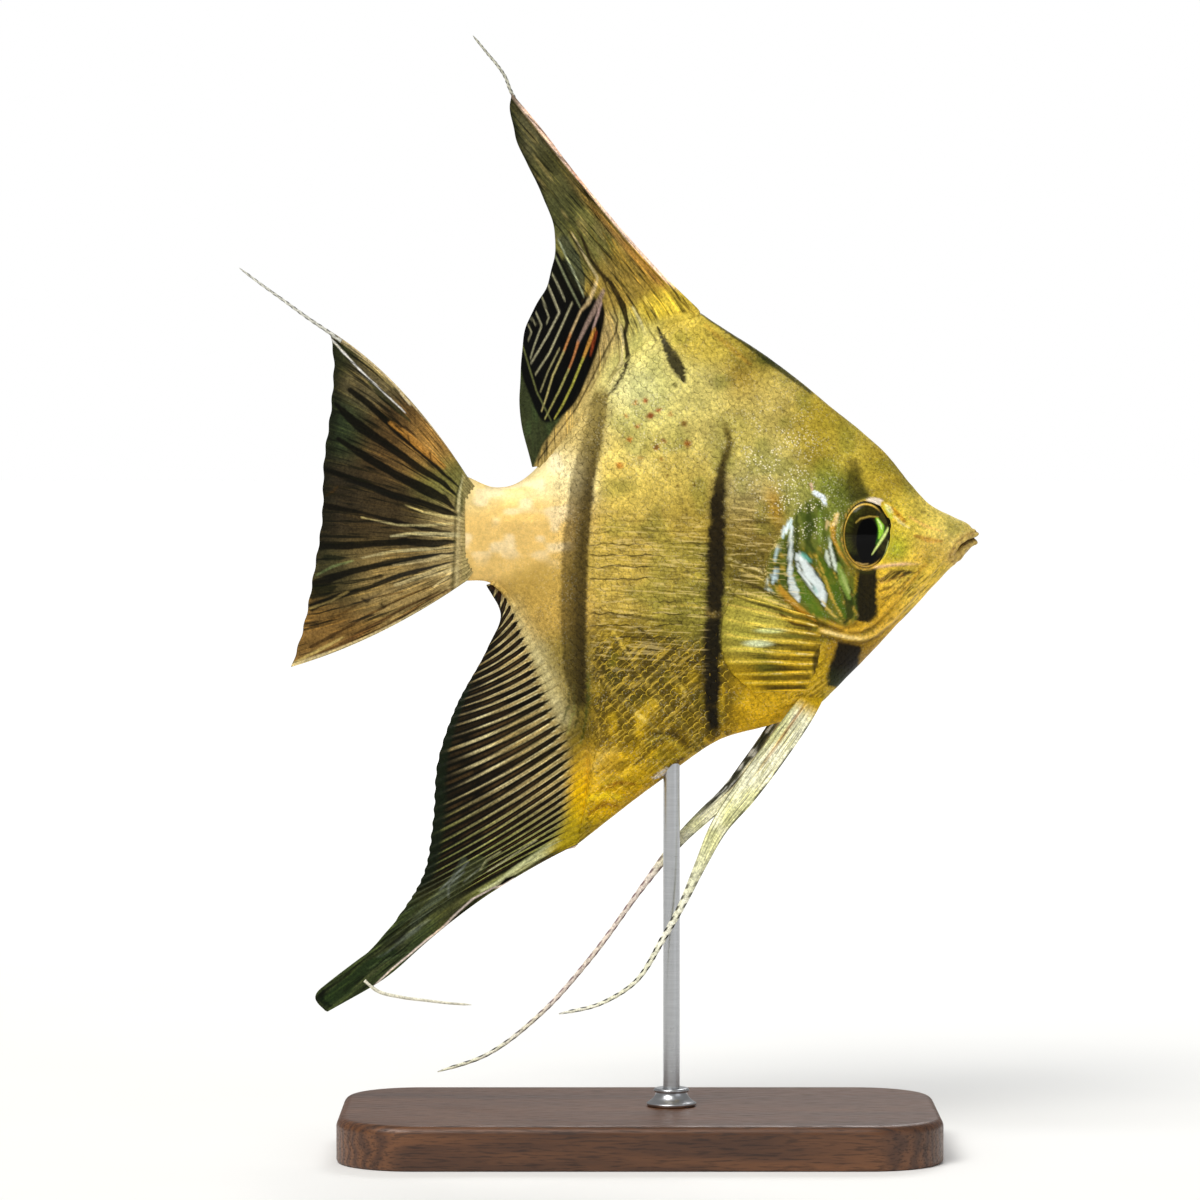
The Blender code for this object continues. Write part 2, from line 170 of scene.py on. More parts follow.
def patched(tone, x, z, patches):
    # Lays soft oval patches over tones, each a bell round its place. Mottling of a size and a seed, where a
    # patch has them, breaks it up.
    for middle, reach, colour, strength, *mottling in patches:
        share = strength * bell(ovalShare(x, z, middle, reach), 1)
        tone = over(tone, colour, share * cloudy(x, z, *mottling) if mottling else share)
    return tone


def brushed(tone, x, z, strokes, rough=0.0, grown=1.0):
    # Lays strokes over tones. Each is a colour, a strength and a line of x, z and half the width, which is
    # drawn `grown` times as wide; its edge is soft over 0.3 mm, and wanders by `rough`.
    for colour, strength, points in strokes:
        line = np.array(points, float)
        reach = line[:, 2].max() * grown + 0.5 + rough
        low, high = line[:, :2].min(axis=0) - reach, line[:, :2].max(axis=0) + reach
        near = (x > low[0]) & (x < high[0]) & (z > low[1]) & (z < high[1])
        if near.any():
            gap, width = fromLine(x[near], z[near], line[:, :2], line[:, 2] * grown)
            gap = gap + rough * (cloudy(x[near], z[near], 0.9, 17) - 0.5)
            tone[near] = over(tone[near], colour, strength * smooth(width + 0.16, width - 0.14, gap))
    return tone


def cells(grid):
    # The four corners of every cell of a grid, in order round the cell.
    corners = np.stack([grid[:-1, :-1], grid[:-1, 1:], grid[1:, 1:], grid[1:, :-1]], axis=2)
    return corners.reshape(-1, 4, *grid.shape[2:])


def uvGrid(rows, columns, box):
    # Map coordinates of a grid laid out in a rectangle (low u, low v, high u, high v).
    u = np.linspace(box[0], box[2], rows)[:, None] + np.zeros(columns)
    v = np.linspace(box[1], box[3], columns)[None, :] + np.zeros((rows, 1))
    return np.stack([u, v], axis=-1)


def loft(rings, tones, box, rowPlaces=None):
    # A closed tube through rings of points (rows, columns, 3). Each end is closed by a fan to the ring's
    # middle.
    rows, columns = rings.shape[:2]
    poles = rings[[0, -1]].mean(axis=1)
    index = np.arange(rows * columns).reshape(rows, columns)
    wrapped = np.concatenate([index, index[:, :1]], axis=1)
    uv = uvGrid(rows, columns + 1, box)
    if rowPlaces is not None:
        uv[..., 0] = (box[0] + (box[2] - box[0]) * rowPlaces)[:, None]
    first, last = rows * columns, rows * columns + 1
    ends = [
        np.stack([np.full(columns, first), wrapped[0, 1:], wrapped[0, :-1]], axis=1),
        np.stack([np.full(columns, last), wrapped[-1, :-1], wrapped[-1, 1:]], axis=1),
    ]
    endUv = [
        np.stack([uv[0, :-1], uv[0, 1:], uv[0, :-1]], axis=1),
        np.stack([uv[-1, :-1], uv[-1, :-1], uv[-1, 1:]], axis=1),
    ]
    poleTones = tones[[0, -1]].mean(axis=1)
    return {
        "points": np.concatenate([rings.reshape(-1, 3), poles]),
        "quads": cells(wrapped),
        "quadUv": cells(uv),
        "triangles": np.concatenate(ends),
        "triangleUv": np.concatenate(endUv),
        "tones": np.concatenate([tones.reshape(rows * columns, -1), poleTones]),
    }


def sheet(front, back, tones, box):
    # A thin closed web between two grids of points (rows, columns, 3) that share their border.
    rows, columns = front.shape[:2]
    index = np.arange(rows * columns).reshape(rows, columns)
    inner = np.zeros((rows, columns), bool)
    inner[1:-1, 1:-1] = True
    behind = index.copy()
    behind[inner] = rows * columns + np.arange(inner.sum())
    middle = (box[0] + box[2]) / 2
    uvFront = uvGrid(rows, columns, (box[0], box[1], middle - 0.004, box[3]))
    uvBack = uvGrid(rows, columns, (middle + 0.004, box[1], box[2], box[3]))
    return {
        "points": np.concatenate([front.reshape(-1, 3), back[inner]]),
        "quads": np.concatenate([cells(index), cells(behind)[:, ::-1]]),
        "quadUv": np.concatenate([cells(uvFront), cells(uvBack)[:, ::-1]]),
        "triangles": np.zeros((0, 3), int),
        "triangleUv": np.zeros((0, 3, 2)),
        "tones": np.concatenate([tones.reshape(rows * columns, -1), tones[inner]]),
    }


def joined(shapes):
    # Several shapes as one, their corner numbers moved up past those of the shapes before.
    out, count = {}, 0
    for shape in shapes:
        moved = dict(shape, quads=shape["quads"] + count, triangles=shape["triangles"] + count)
        count += len(shape["points"])
        for key, value in moved.items():
            out.setdefault(key, []).append(value)
    return {key: np.concatenate(values) for key, values in out.items()}


def makePiece(name, shape, material, replaced, inFish=True):
    # Puts a shape into a mesh: faces are turned outward if they enclose a negative volume, and the points
    # go from the fish's frame to the scene's.
    points = shape["points"] * mm + fishAt if inFish else shape["points"]
    quads, triangles = shape["quads"], shape["triangles"]
    quadUv, triangleUv = shape["quadUv"], shape["triangleUv"]
    fans = np.concatenate([quads[:, :3], quads[:, [0, 2, 3]], triangles])
    a, b, c = (points[fans[:, k]] - points.mean(axis=0) for k in range(3))
    if (a * np.cross(b, c)).sum() < 0:
        quads, quadUv = quads[:, ::-1], quadUv[:, ::-1]
        triangles, triangleUv = triangles[:, ::-1], triangleUv[:, ::-1]
    corners = np.concatenate([quads.ravel(), triangles.ravel()])
    sizes = np.concatenate([np.full(len(quads), 4), np.full(len(triangles), 3)])
    mesh = bpy.data.meshes.new(name)
    mesh.vertices.add(len(points))
    mesh.vertices.foreach_set("co", points.astype(np.float32).ravel())
    mesh.loops.add(len(corners))
    mesh.loops.foreach_set("vertex_index", corners.astype(np.int32))
    mesh.polygons.add(len(sizes))
    starts = np.concatenate([[0], np.cumsum(sizes)[:-1]])
    mesh.polygons.foreach_set("loop_start", starts.astype(np.int32))
    mesh.polygons.foreach_set("use_smooth", np.ones(len(sizes), bool))
    mesh.update(calc_edges=True)
    uv = np.concatenate([quadUv.reshape(-1, 2), triangleUv.reshape(-1, 2)]).astype(np.float32)
    mesh.uv_layers.new(name="OFBake").data.foreach_set("uv", uv.ravel())
    layers = {"tone": shape["tones"][:, :4]}
    if shape["tones"].shape[1] > 4:
        layers["marks"] = shape["tones"][:, 4:8]
    for layer, values in layers.items():
        colours = mesh.color_attributes.new(name=layer, type="FLOAT_COLOR", domain="POINT")
        colours.data.foreach_set("color", values.astype(np.float32).ravel())
    mesh.materials.append(material)
    piece = bpy.data.objects.new(name, mesh)
    bpy.context.scene.collection.objects.link(piece)
    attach(piece, "root")
    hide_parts(*replaced)
    print(name, len(fans), "triangles")


def addNode(tree, kind, sockets=None, **settings):
    # Adds a node with its settings. Each socket takes a value, or the output that feeds it.
    made = tree.nodes.new("ShaderNode" + kind)
    for key, value in settings.items():
        setattr(made, key, value)
    for socket, value in (sockets or {}).items():
        if isinstance(value, bpy.types.NodeSocket):
            tree.links.new(value, made.inputs[socket])
        else:
            made.inputs[socket].default_value = value
    return made


def newMaterial(name):
    # An empty material, and the object's own coordinates.
    material = bpy.data.materials.new(name)
    material.use_nodes = True
    tree = material.node_tree
    tree.nodes.clear()
    return material, tree, addNode(tree, "TexCoord").outputs["Object"]


def perMillimetre(size):
    # The scale of a pattern whose features are `size` millimetres across.
    return 1 / (size * 0.001)


def rgba(hexColour):
    # Linear light with full alpha.
    return (*linear(hexColour), 1.0)


body = {
    "combRoot": [(7.6, -15), (12.2, -22), (14.8, -28), (16.6, -34)],  # the pale skin above the rear low fin
    # Back x, back z, belly x, belly z and half the width, from the tail to the roots of the tall fins.
    "rear": [
        (0, 9.5, 0, -9.5, 1.5), (5, 7.6, 4, -9.8, 2.4), (9.5, 8.5, 7.5, -12.5, 3.1),
        (14, 12.5, 11.2, -18.7, 3.9), (19.5, 19.5, 16.2, -28.8, 4.9), (26.3, 27.9, 20.3, -36, 5.7),
        (31.3, 33.3, 21.6, -42.5, 6.2), (36.6, 37.2, 21.2, -49.5, 6.4), (42.1, 38.9, 20, -57.1, 6.5),
    ],
    # The same on to the snout.
    "front": [
        (42.1, 38.9, 20, -57.1, 6.5), (47.2, 35.5, 28.1, -50.8, 6.8), (52.9, 31.9, 36.4, -44.6, 7.1),
        (60.1, 26.6, 45.4, -38.3, 7.4), (65.5, 22.1, 54.7, -35.6, 7.6), (70.9, 17.8, 62.3, -32.8, 7.5),
        (75.7, 13.4, 68.8, -26.8, 7), (79.9, 8.3, 75.7, -19.6, 6.1), (83.5, 4.5, 81.6, -13.4, 5),
        (87.1, 2.5, 86.6, -8, 3.8), (90.1, 1.1, 89.8, -4.8, 2.6), (91.2, 0, 91.3, -3, 1.5),
    ],
    "section": (2.1, 0.72, 0.14),  # the powers in the lens of each section
    "coatDepth": 0.15,  # the skin lies this far inside the solids
    "rows": 246,
    "rowPlaces": ([0, 0.34, 0.46, 0.9, 1], [0, 0.5, 0.63, 0.94, 1]),  # share of the rows, and their u
    "columns": 376,
    "endRows": 7,
    "tailBulge": -0.5,
    "snoutBulge": 0.9,
    "headBehind": [(74, 34), (66.4, 17.6), (57, 5.5), (52.3, -6), (53.5, -15), (61, -22.6), (67, -28),
                   (71, -38)],
}

head = {
    "eyeAt": (71.6, -1.1),
    "eyeReach": (4.15, 5.9),
    "pitDepth": 3.0,
    "rimHeight": 0.3,
    # Place, reach, height and the share of its reach where it is full.
    "knobs": [((73.2, 4.9), (1.7, 0.9), 0.45, 0.4), ((75.3, 3.2), (1.2, 1.3), 0.4, 0.3)],
    "ridges": {"jawRidge": (0.5, 0.55), "cheekRidge": (0.36, 0.45), "orbitFold": (0.28, 0.4),
               "eyeShelf": (0.34, 0.38)},  # height and half the width of each line below
    "leafHeight": 0.3,
    "leafWidth": 0.8,
    "gillCover": [
        (62.3, 6.1), (59.2, 3.6), (56.6, -0.6), (54.6, -4), (53.7, -8), (54.2, -11), (57.6, -12.9),
        (60.4, -15), (63.6, -16.8), (67.5, -17.7), (69.8, -16.8), (69.5, -11.2), (69.1, -7.9), (67.4, -4.6),
        (65.4, -0.4), (64.9, 4),
    ],
    "jawRidge": [(62.5, -17.9), (65.3, -18.5), (68.6, -19.4), (71, -19.6), (73.1, -18.9), (76.1, -16.6),
                 (79, -13.5), (84.5, -6.5), (88, -3)],
    "cheekRidge": [(58.4, -12.5), (62.3, -15.3), (65.3, -16.8), (68.6, -18.2), (71, -18), (73.1, -16.8),
                   (75.3, -14.6), (78.2, -11.2), (82.4, -6.4)],
    "eyeShelf": [(73.3, -6.8), (76.1, -6.4), (79, -6.2), (83, -6.3)],
    "orbitFold": [(66.8, 3.2), (65.8, 0.7), (65.5, -1.6), (66.6, -3.8), (68.4, -6.4), (69.4, -9)],
    "mouth": [(92.4, -1.7), (90.4, -2.3), (89, -3.4), (88.3, -4.9)],
    "mouthDepth": 0.55,
    "nostril": (82.2, 3.2),
    # Wet plates of the gill cover that stand up a little: the middle line of each.
    "leaves": [
        [(58.3, 0.6), (58.1, -4.7), (58.1, -8.8), (59.7, -12.5)],
        [(59.8, -4.4), (60.6, -6.8), (62.3, -9.4), (64, -13.6)],
        [(63.2, -5.2), (65.3, -9), (66.6, -12.5), (68, -15.6)],
        [(65.1, -1.8), (65.4, -4.4), (66.8, -7.4), (68.6, -12)],
    ],
}


def stations(at):
    # The body's columns at `at`: 0 is the tail, 1 the roots of the tall fins and 2 the snout.
    rear = through(np.linspace(0, 1, len(body["rear"])), body["rear"], np.minimum(at, 1))
    front = through(np.linspace(1, 2, len(body["front"])), body["front"], np.maximum(at, 1))
    return np.where(at[:, None] < 1, rear, front)


def roundHeight(half):
    # The height at a share of the half turn from belly to back: 0.45 half + 0.275 (1 - cos(pi half)).
    return 0.45 * half + 0.275 * (1 - np.cos(np.pi * half))


def flank(u, height, side):
    # A point of the bare body: each section runs straight from the belly (height 0) to the back (1), and is
    # half a lens wide: half the width times (1 - |2 height - 1| ** edge) ** (full - slimmer u).
    station = stations(2 * u)
    across = np.abs(2 * height - 1)
    edge, full, slimmer = body["section"]
    out = side * station[:, 4] * np.maximum(1 - across**edge, 0) ** (full - slimmer * u)
    line = station[:, 2:4] + height[:, None] * (station[:, 0:2] - station[:, 2:4])
    return np.stack([line[:, 0], out, line[:, 1]], axis=1)


def flankNormal(u, height, side):
    # Outward direction of the bare body: the cross product of its slopes along and across.
    step = 0.003
    ahead = flank(np.minimum(u + step, 1), height, side) - flank(np.maximum(u - step, 0), height, side)
    low, high = np.clip(height - step, 0.0004, 1), np.clip(height + step, 0, 0.9996)
    up = flank(u, high, side) - flank(u, low, side)
    normal = np.cross(up, ahead) * np.sign(side)[:, None]
    return normal / (np.linalg.norm(normal, axis=1)[:, None] + 1e-9)


def eyeShare(x, z):
    # 1 on the eye's outline, less inside.
    return ovalShare(x, z, head["eyeAt"], head["eyeReach"])


def relief(x, z):
    # How far the skin stands out of the bare body, in millimetres: the eye's pit and rim, the gill cover's
    # step, ridges and folds, each a bell or an S-shaped step of the distance from its line.
    out = np.full(len(x), -body["coatDepth"])
    share = eyeShare(x, z)
    out -= head["pitDepth"] * smooth(1.03, 0.8, share)
    out += head["rimHeight"] * bell(share - 1.06, 0.045) + 0.25 * bell(share - 1.16, 0.34)
    for middle, reach, height, full in head["knobs"]:
        out += height * smooth(1.25, full, ovalShare(x, z, middle, reach))
    share, reach = loopShare(x, z, head["gillCover"])
    edge = (share - 1) * reach
    behind = smooth(66, 60, x + 0.35 * z) * smooth(4, -2, z)
    out += behind * (0.5 * smooth(0.2, -0.3, edge) * smooth(-14, -3, edge) - 0.2 * bell(edge - 0.5, 0.45))
    inside = smooth(0.3, -1.0, edge)
    for leaf in head["leaves"]:
        gap, along = fromLine(x, z, leaf)
        ends = smooth(0, 0.2, along) * smooth(1, 0.75, along)
        out += head["leafHeight"] * inside * bell(gap, head["leafWidth"]) * ends
    for name, (height, width) in head["ridges"].items():
        gap, along = fromLine(x, z, head[name])
        out += height * bell(gap, width) * smooth(0, 0.12, along) * smooth(1, 0.8, along)
        out -= 0.35 * height * bell(gap - 2.2 * width, width)
    gap, along = fromLine(x, z, head["mouth"])
    out -= head["mouthDepth"] * bell(gap, 0.26) * smooth(1, 0.75, along)
    out += 0.3 * bell(gap - 0.8, 0.36) + 0.12 * bell(gap - 1.7, 0.3)
    out -= 0.35 * bell(ovalShare(x, z, head["nostril"], (1, 1)), 0.38)
    # Soft rolls of muscle, and folds of thin skin on the jaw.
    jaw = smooth(74, 78, x) * smooth(-3, -7, z) + smooth(54, 60, x) * smooth(-15, -19, z) * smooth(68, 64, x)
    across = 0.64 * x - 0.77 * z
    out += 0.16 * np.clip(jaw, 0, 1) * (cloudy(0.12 * (x + z), across, 0.55, 5) - 0.5)
    out += 0.1 * (cloudy(x, z, 5.5, 3) - 0.5) + 0.06 * (cloudy(x, z, 1.3, 4) - 0.5)
    return out


bodyPlaces = {
    "stalk": ((6, 0), 5, "e6c070"),
    "stalkFront": ((14.2, 1.4), 5, "e2bc6c"),
    "stalkTop": ((16.9, 8.6), 4, "f0dea2"),
    "stalkRoot": ((2.5, 7), 3, "e8d08c"),
    "backOfFin": ((19.6, 19.4), 5, "b8a260"),
    "stalkBelly": ((15, -13), 5, "bc9a48"),
    "analRoot": ((17.5, -24), 4, "8e7a34"),
    "analRootLow": ((19, -38), 4, "6a5a1c"),
    "belly": ((26, -47), 6, "e0b200"),
    "bellyTip": ((20, -55), 4, "9c8812"),
    "bellyBright": ((24.3, -42), 3, "dcb03a"),
    "bellyEdge": ((33, -50), 5, "cc9c0c"),
    "bellyMiddle": ((33.5, -38), 5.5, "c8a210"),
    "flankLow": ((31.3, -25), 6, "806a12"),
    "netRight": ((40.5, -29), 5, "a08414"),
    "flank": ((31.3, -5.8), 7, "c2a648"),
    "flankUpper": ((33.1, 10.4), 6, "d0b654"),
    "shoulder": ((33.1, 23), 6, "d6ca74"),
    "midFront": ((41, 2), 5, "a48c36"),
    "midHigh": ((40.3, 10.4), 4, "bea84e"),
    "midTop": ((42.1, 16), 4, "c8b662"),
    "midLow": ((41, -14), 6, "8e8430"),
    "nape": ((52.9, 22), 6, "c8b25e"),
    "upperBar": ((42.1, 24), 4, "c4b665"),
    "finRoot": ((43, 35), 4, "c8b044"),
    "napeEdge": ((52, 30), 4, "98862c"),
    "hairs": ((52, 1.4), 4, "947c36"),
    "hairsUp": ((50.2, 6), 4, "aa9a5c"),
    "silver": ((50.2, 17.6), 4, "b0a24c"),
    "silverMid": ((54.7, 13), 4, "bcae62"),
    "behindGill": ((50, -6), 5, "6c5e1e"),
    "pectoralRoot": ((52.9, -17), 4, "ccbe50"),
    "breast": ((56.5, -28), 5, "c8a41c"),
    "breastLow": ((54.7, -32), 4, "e4b41a"),
    "breastEdge": ((48, -35), 5, "d4a818"),
    "crown": ((63, 18), 6, "a48e28"),
    "crownFront": ((69.1, 15), 4, "baa63e"),
    "forehead": ((74.5, 10.4), 5, "b89e30"),
    "brow": ((79, 1), 4, "d8bc34"),
    "snoutTop": ((82.6, 2.3), 4, "e2cc5c"),
    "snout": ((86, -1), 4, "e0c868"),
    "snoutLow": ((83.5, -4), 3, "dcb244"),
    "chin": ((81.7, -9.4), 4, "f6cc3c"),
    "jaw": ((76.3, -15), 3.5, "dcae28"),
    "throat": ((72.5, -21), 4, "a27e1c"),
    "cheek": ((66, 6), 4, "7e8832"),
    "gillTop": ((60, 5), 4, "989448"),
    "gillLow": ((60, -13), 4, "7a6a1c"),
}

bodyPatches = [
    # Painted highlights high on the shoulder and along the top of the tail stalk; also a pale mottled patch
    # on the shoulder, brown nape, dark back edge, lime cheek and bright chin.
    ((30.5, 25), (5, 4), "ece7a4", 0.7), ((31, 14), (7, 4), "e4d98c", 0.45, 1.8, 13),
    ((49.3, 27), (3.6, 3.4), "97791f", 0.6), ((57, 30), (7, 1.3), "232f0c", 0.8),
    ((77.3, -3.6), (2.2, 2.6), "a9b42c", 0.75), ((9, 5.6), (5, 1.8), "f3e4b8", 0.6, 2.2, 14),
    ((80, -10.5), (4.5, 3.5), "ffdc64", 0.45),
]

browStrokes = [
    # The golden knob above the eye; its two palest strokes are painted highlights.
    ("eac838", 1.0, [(74.7, 4.4, 0.5), (75.9, 3.6, 1.1), (76.8, 2.1, 0.8)]),
    ("fff3a8", 0.95, [(75.1, 4.3, 0.2), (75.9, 3.6, 0.4), (76.3, 2.9, 0.15)]),
    ("dcdc4c", 0.9, [(74.9, 3.8, 0.25), (75.6, 3.1, 0.45), (76.1, 2.1, 0.35)]),
    ("fff8b8", 0.9, [(75.2, 3.6, 0.1), (75.8, 3.0, 0.2)]),
    ("c4881c", 0.8, [(76.5, 3.6, 0.3), (77.5, 2.6, 0.4), (78.6, 1.4, 0.3)]),
    ("f2e09a", 0.8, [(76.8, 2.2, 0.16), (78, 1.1, 0.2), (79.4, 0.3, 0.12)]),
    ("e8b860", 0.7, [(79.6, 2.2, 0.2), (82.4, 0.6, 0.3), (85.4, -0.4, 0.15)]),
    ("b0641c", 0.5, [(80.6, -1.2, 0.3), (83.2, -2, 0.5), (85.4, -2.2, 0.2)]),
]

bars = {
    # Lines of x, z and half the width; then the tone at the top, in the middle and at the foot, and how
    # soft it is.
    "rear": ([(24.6, 26), (23.3, 19), (21, 9), (19.7, -3), (19.3, -15), (19.6, -26), (20.6, -33)],
             [1.2, 1.75, 2.15, 2.4, 2.4, 2.1, 1.0], ("7a6a30", "463812", "2e2406"), 0.3),
    "middle": ([(46, 20), (47.3, 15.8), (46, 11.5), (45.2, 5), (44.9, -2.2), (44.6, -14), (44.1, -20.2),
                (44.2, -31), (44.6, -38.6)], [0.25, 0.7, 0.75, 1.4, 1.65, 1.6, 1.65, 1.45, 0.9],
               ("5e501c", "1c1404", "0a0702"), 0.45),
    "brow": ([(69.6, 13), (69.4, 8.5), (70.6, 5)], [0.8, 1.7, 2.1], ("8a7828", "524a0e", "3c3a0c"), 0.9),
    "cheek": ([(71.8, -6.2), (71.8, -11), (71.6, -15), (71.2, -16.8)], [1.9, 2.1, 2.2, 1.5],
              ("0b0c04", "0d0e03", "141304"), 0.4),
    "throat": ([(69, -20.4), (68, -24.5), (67, -29)], [2.3, 2.7, 2.6], ("140e03", "0b0802", "1c2606"), 0.5),
}

freckles = [
    # Place, size and colour.
    (33.1, 20.3, 0.55, "8a3c10"), (32.2, 23, 0.4, "a8501c"), (29.4, 16, 0.35, "b4601c"),
    (34.2, 14.6, 0.5, "7a3a10"), (35.5, 15.7, 0.3, "a8602c"), (39.2, 18.9, 0.55, "6e4a14"),
    (39.8, 15.3, 0.6, "8a5014"), (27.6, 11.4, 0.6, "c07c28"), (38, 7.8, 0.3, "5c4414"),
    (40.9, 7.9, 0.3, "5c4414"), (36.7, 20.6, 0.25, "b4601c"), (30.8, 18.4, 0.3, "a8501c"),
    (35.1, 12.6, 0.25, "8a5014"), (37.4, 25.8, 0.4, "4e4a1a"), (31.3, 12.7, 0.25, "c07c28"),
    (28.8, 20.2, 0.3, "b87830"), (34.6, 21.2, 0.3, "b04418"), (30.4, 22.6, 0.3, "c07c28"),
    (21.2, 3.4, 0.25, "3c280c"), (36.2, 9.6, 0.2, "6a4c18"),
]

netStrokes = [
    # Dark cracks between the scales above the net, and golden threads that cross it.
    ("2a240a", 0.85, [(26, -17.8, 0.1), (27.8, -20.8, 0.2), (29.2, -23.8, 0.12)]),
    ("2a240a", 0.85, [(26.8, -20.2, 0.1), (29.8, -22, 0.18), (31.9, -23.2, 0.1)]),
    ("2a240a", 0.8, [(31, -17.5, 0.1), (33.4, -20, 0.16), (34.3, -21.4, 0.1)]),
    ("2a240a", 0.7, [(24.9, -15.2, 0.08), (31.3, -15.9, 0.16), (38.5, -16.6, 0.1)]),
    ("e2c24c", 0.9, [(26.5, -18.4, 0.08), (30, -23.8, 0.16), (33.5, -29.5, 0.12), (36.4, -34, 0.08)]),
    ("e2c24c", 0.9, [(30.7, -25.6, 0.1), (36.1, -31.6, 0.18), (42.1, -39.4, 0.1)]),
    ("dcb83e", 0.85, [(22.9, -23.8, 0.1), (27.1, -31, 0.16), (29.5, -37, 0.1)]),
    ("e8ca5c", 0.85, [(39.7, -20.8, 0.1), (34.9, -25, 0.16), (31, -28, 0.08)]),
    ("e2c24c", 0.85, [(34, -22, 0.1), (38.5, -28, 0.16), (41.9, -34, 0.1)]),
    ("e8ca5c", 0.85, [(24.7, -27.4, 0.1), (31, -33.4, 0.16), (38, -38.8, 0.1)]),
    ("dcb83e", 0.85, [(28, -38, 0.1), (33, -34, 0.14), (37, -30, 0.08)]),
    ("e0b840", 0.7, [(22.9, -33, 0.08), (24.3, -37.2, 0.18), (24.9, -42, 0.12)]),
    ("e8c860", 0.6, [(25.9, -39.4, 0.1), (23.8, -41.6, 0.2), (22.6, -43.4, 0.1)]),
    ("ecc450", 0.6, [(21.6, -40, 0.1), (24.7, -40.6, 0.16), (28.9, -39.4, 0.1)]),
    ("f2c61c", 0.85, [(28.3, -44.2, 0.2), (32, -41.5, 0.35), (36.1, -37.6, 0.15)]),
    ("5c4404", 0.8, [(30.1, -42.4, 0.1), (34.3, -38.8, 0.2), (38, -36.4, 0.1)]),
    ("f2d23c", 0.85, [(32.5, -38.2, 0.14), (35.5, -37, 0.3), (38.8, -39.8, 0.16)]),
    ("4e3c06", 0.8, [(33.4, -36.8, 0.1), (37.3, -36.6, 0.2), (40.3, -39.4, 0.1)]),
    ("8a5208", 0.7, [(24, -47.2, 0.1), (27.4, -45.6, 0.22), (30.4, -46, 0.1)]),
    ("8a5208", 0.7, [(22, -51.4, 0.1), (25, -49.4, 0.2), (27.8, -50.2, 0.1)]),
    ("f4d21e", 0.7, [(21.6, -48.6, 0.2), (24.8, -47.8, 0.4), (28.2, -48.4, 0.15)]),
    ("4a2614", 0.8, [(38.9, -41.9, 0.35), (36.6, -44.4, 0.5), (33.4, -47.4, 0.2)]),
    ("f4eee6", 0.85, [(36.2, -43.2, 0.12), (35, -44.3, 0.25), (33.8, -45, 0.1)]),
]

sheathFoldShade = [
    # Painted shade of the folds that wrap the rear lobe of the tall fin, on the fin and on the back below it:
    # dark shadow lines along the folds, with a pale line and thin brown lines beside them.
    ("221a08", 0.95, [(20.7, 52.5, 0.18), (22.2, 48.7, 0.3), (23.7, 46.4, 0.36), (26, 44.1, 0.42),
                      (28.2, 40.1, 0.55), (29, 36.9, 0.34), (28.5, 34.8, 0.3), (29.1, 31.2, 0.38),
                      (28.4, 28.3, 0.3), (26.3, 24.6, 0.24), (23.4, 22.4, 0.1)]),
    ("33270f", 0.85, [(19.9, 53.6, 0.1), (23.1, 48.5, 0.12), (24.7, 45, 0.14), (26.3, 40.4, 0.14),
                      (27.3, 37.5, 0.16), (26.9, 35.2, 0.16), (24.6, 30.9, 0.15), (22.5, 26.6, 0.14),
                      (19.9, 21.7, 0.12), (16.5, 17.1, 0.1), (13, 12.2, 0.1)]),
    ("d6c48e", 0.6, [(27.9, 36.4, 0.2), (28.2, 33.5, 0.26), (28, 30, 0.22), (26, 26, 0.16)]),
    ("6a5528", 0.7, [(27.4, 33.5, 0.08), (27.6, 30, 0.1), (25.7, 26.9, 0.1), (23.4, 23.7, 0.08)]),
    ("6a5528", 0.6, [(26, 32.3, 0.07), (24.6, 28.9, 0.09), (22.2, 24.6, 0.07)]),
]

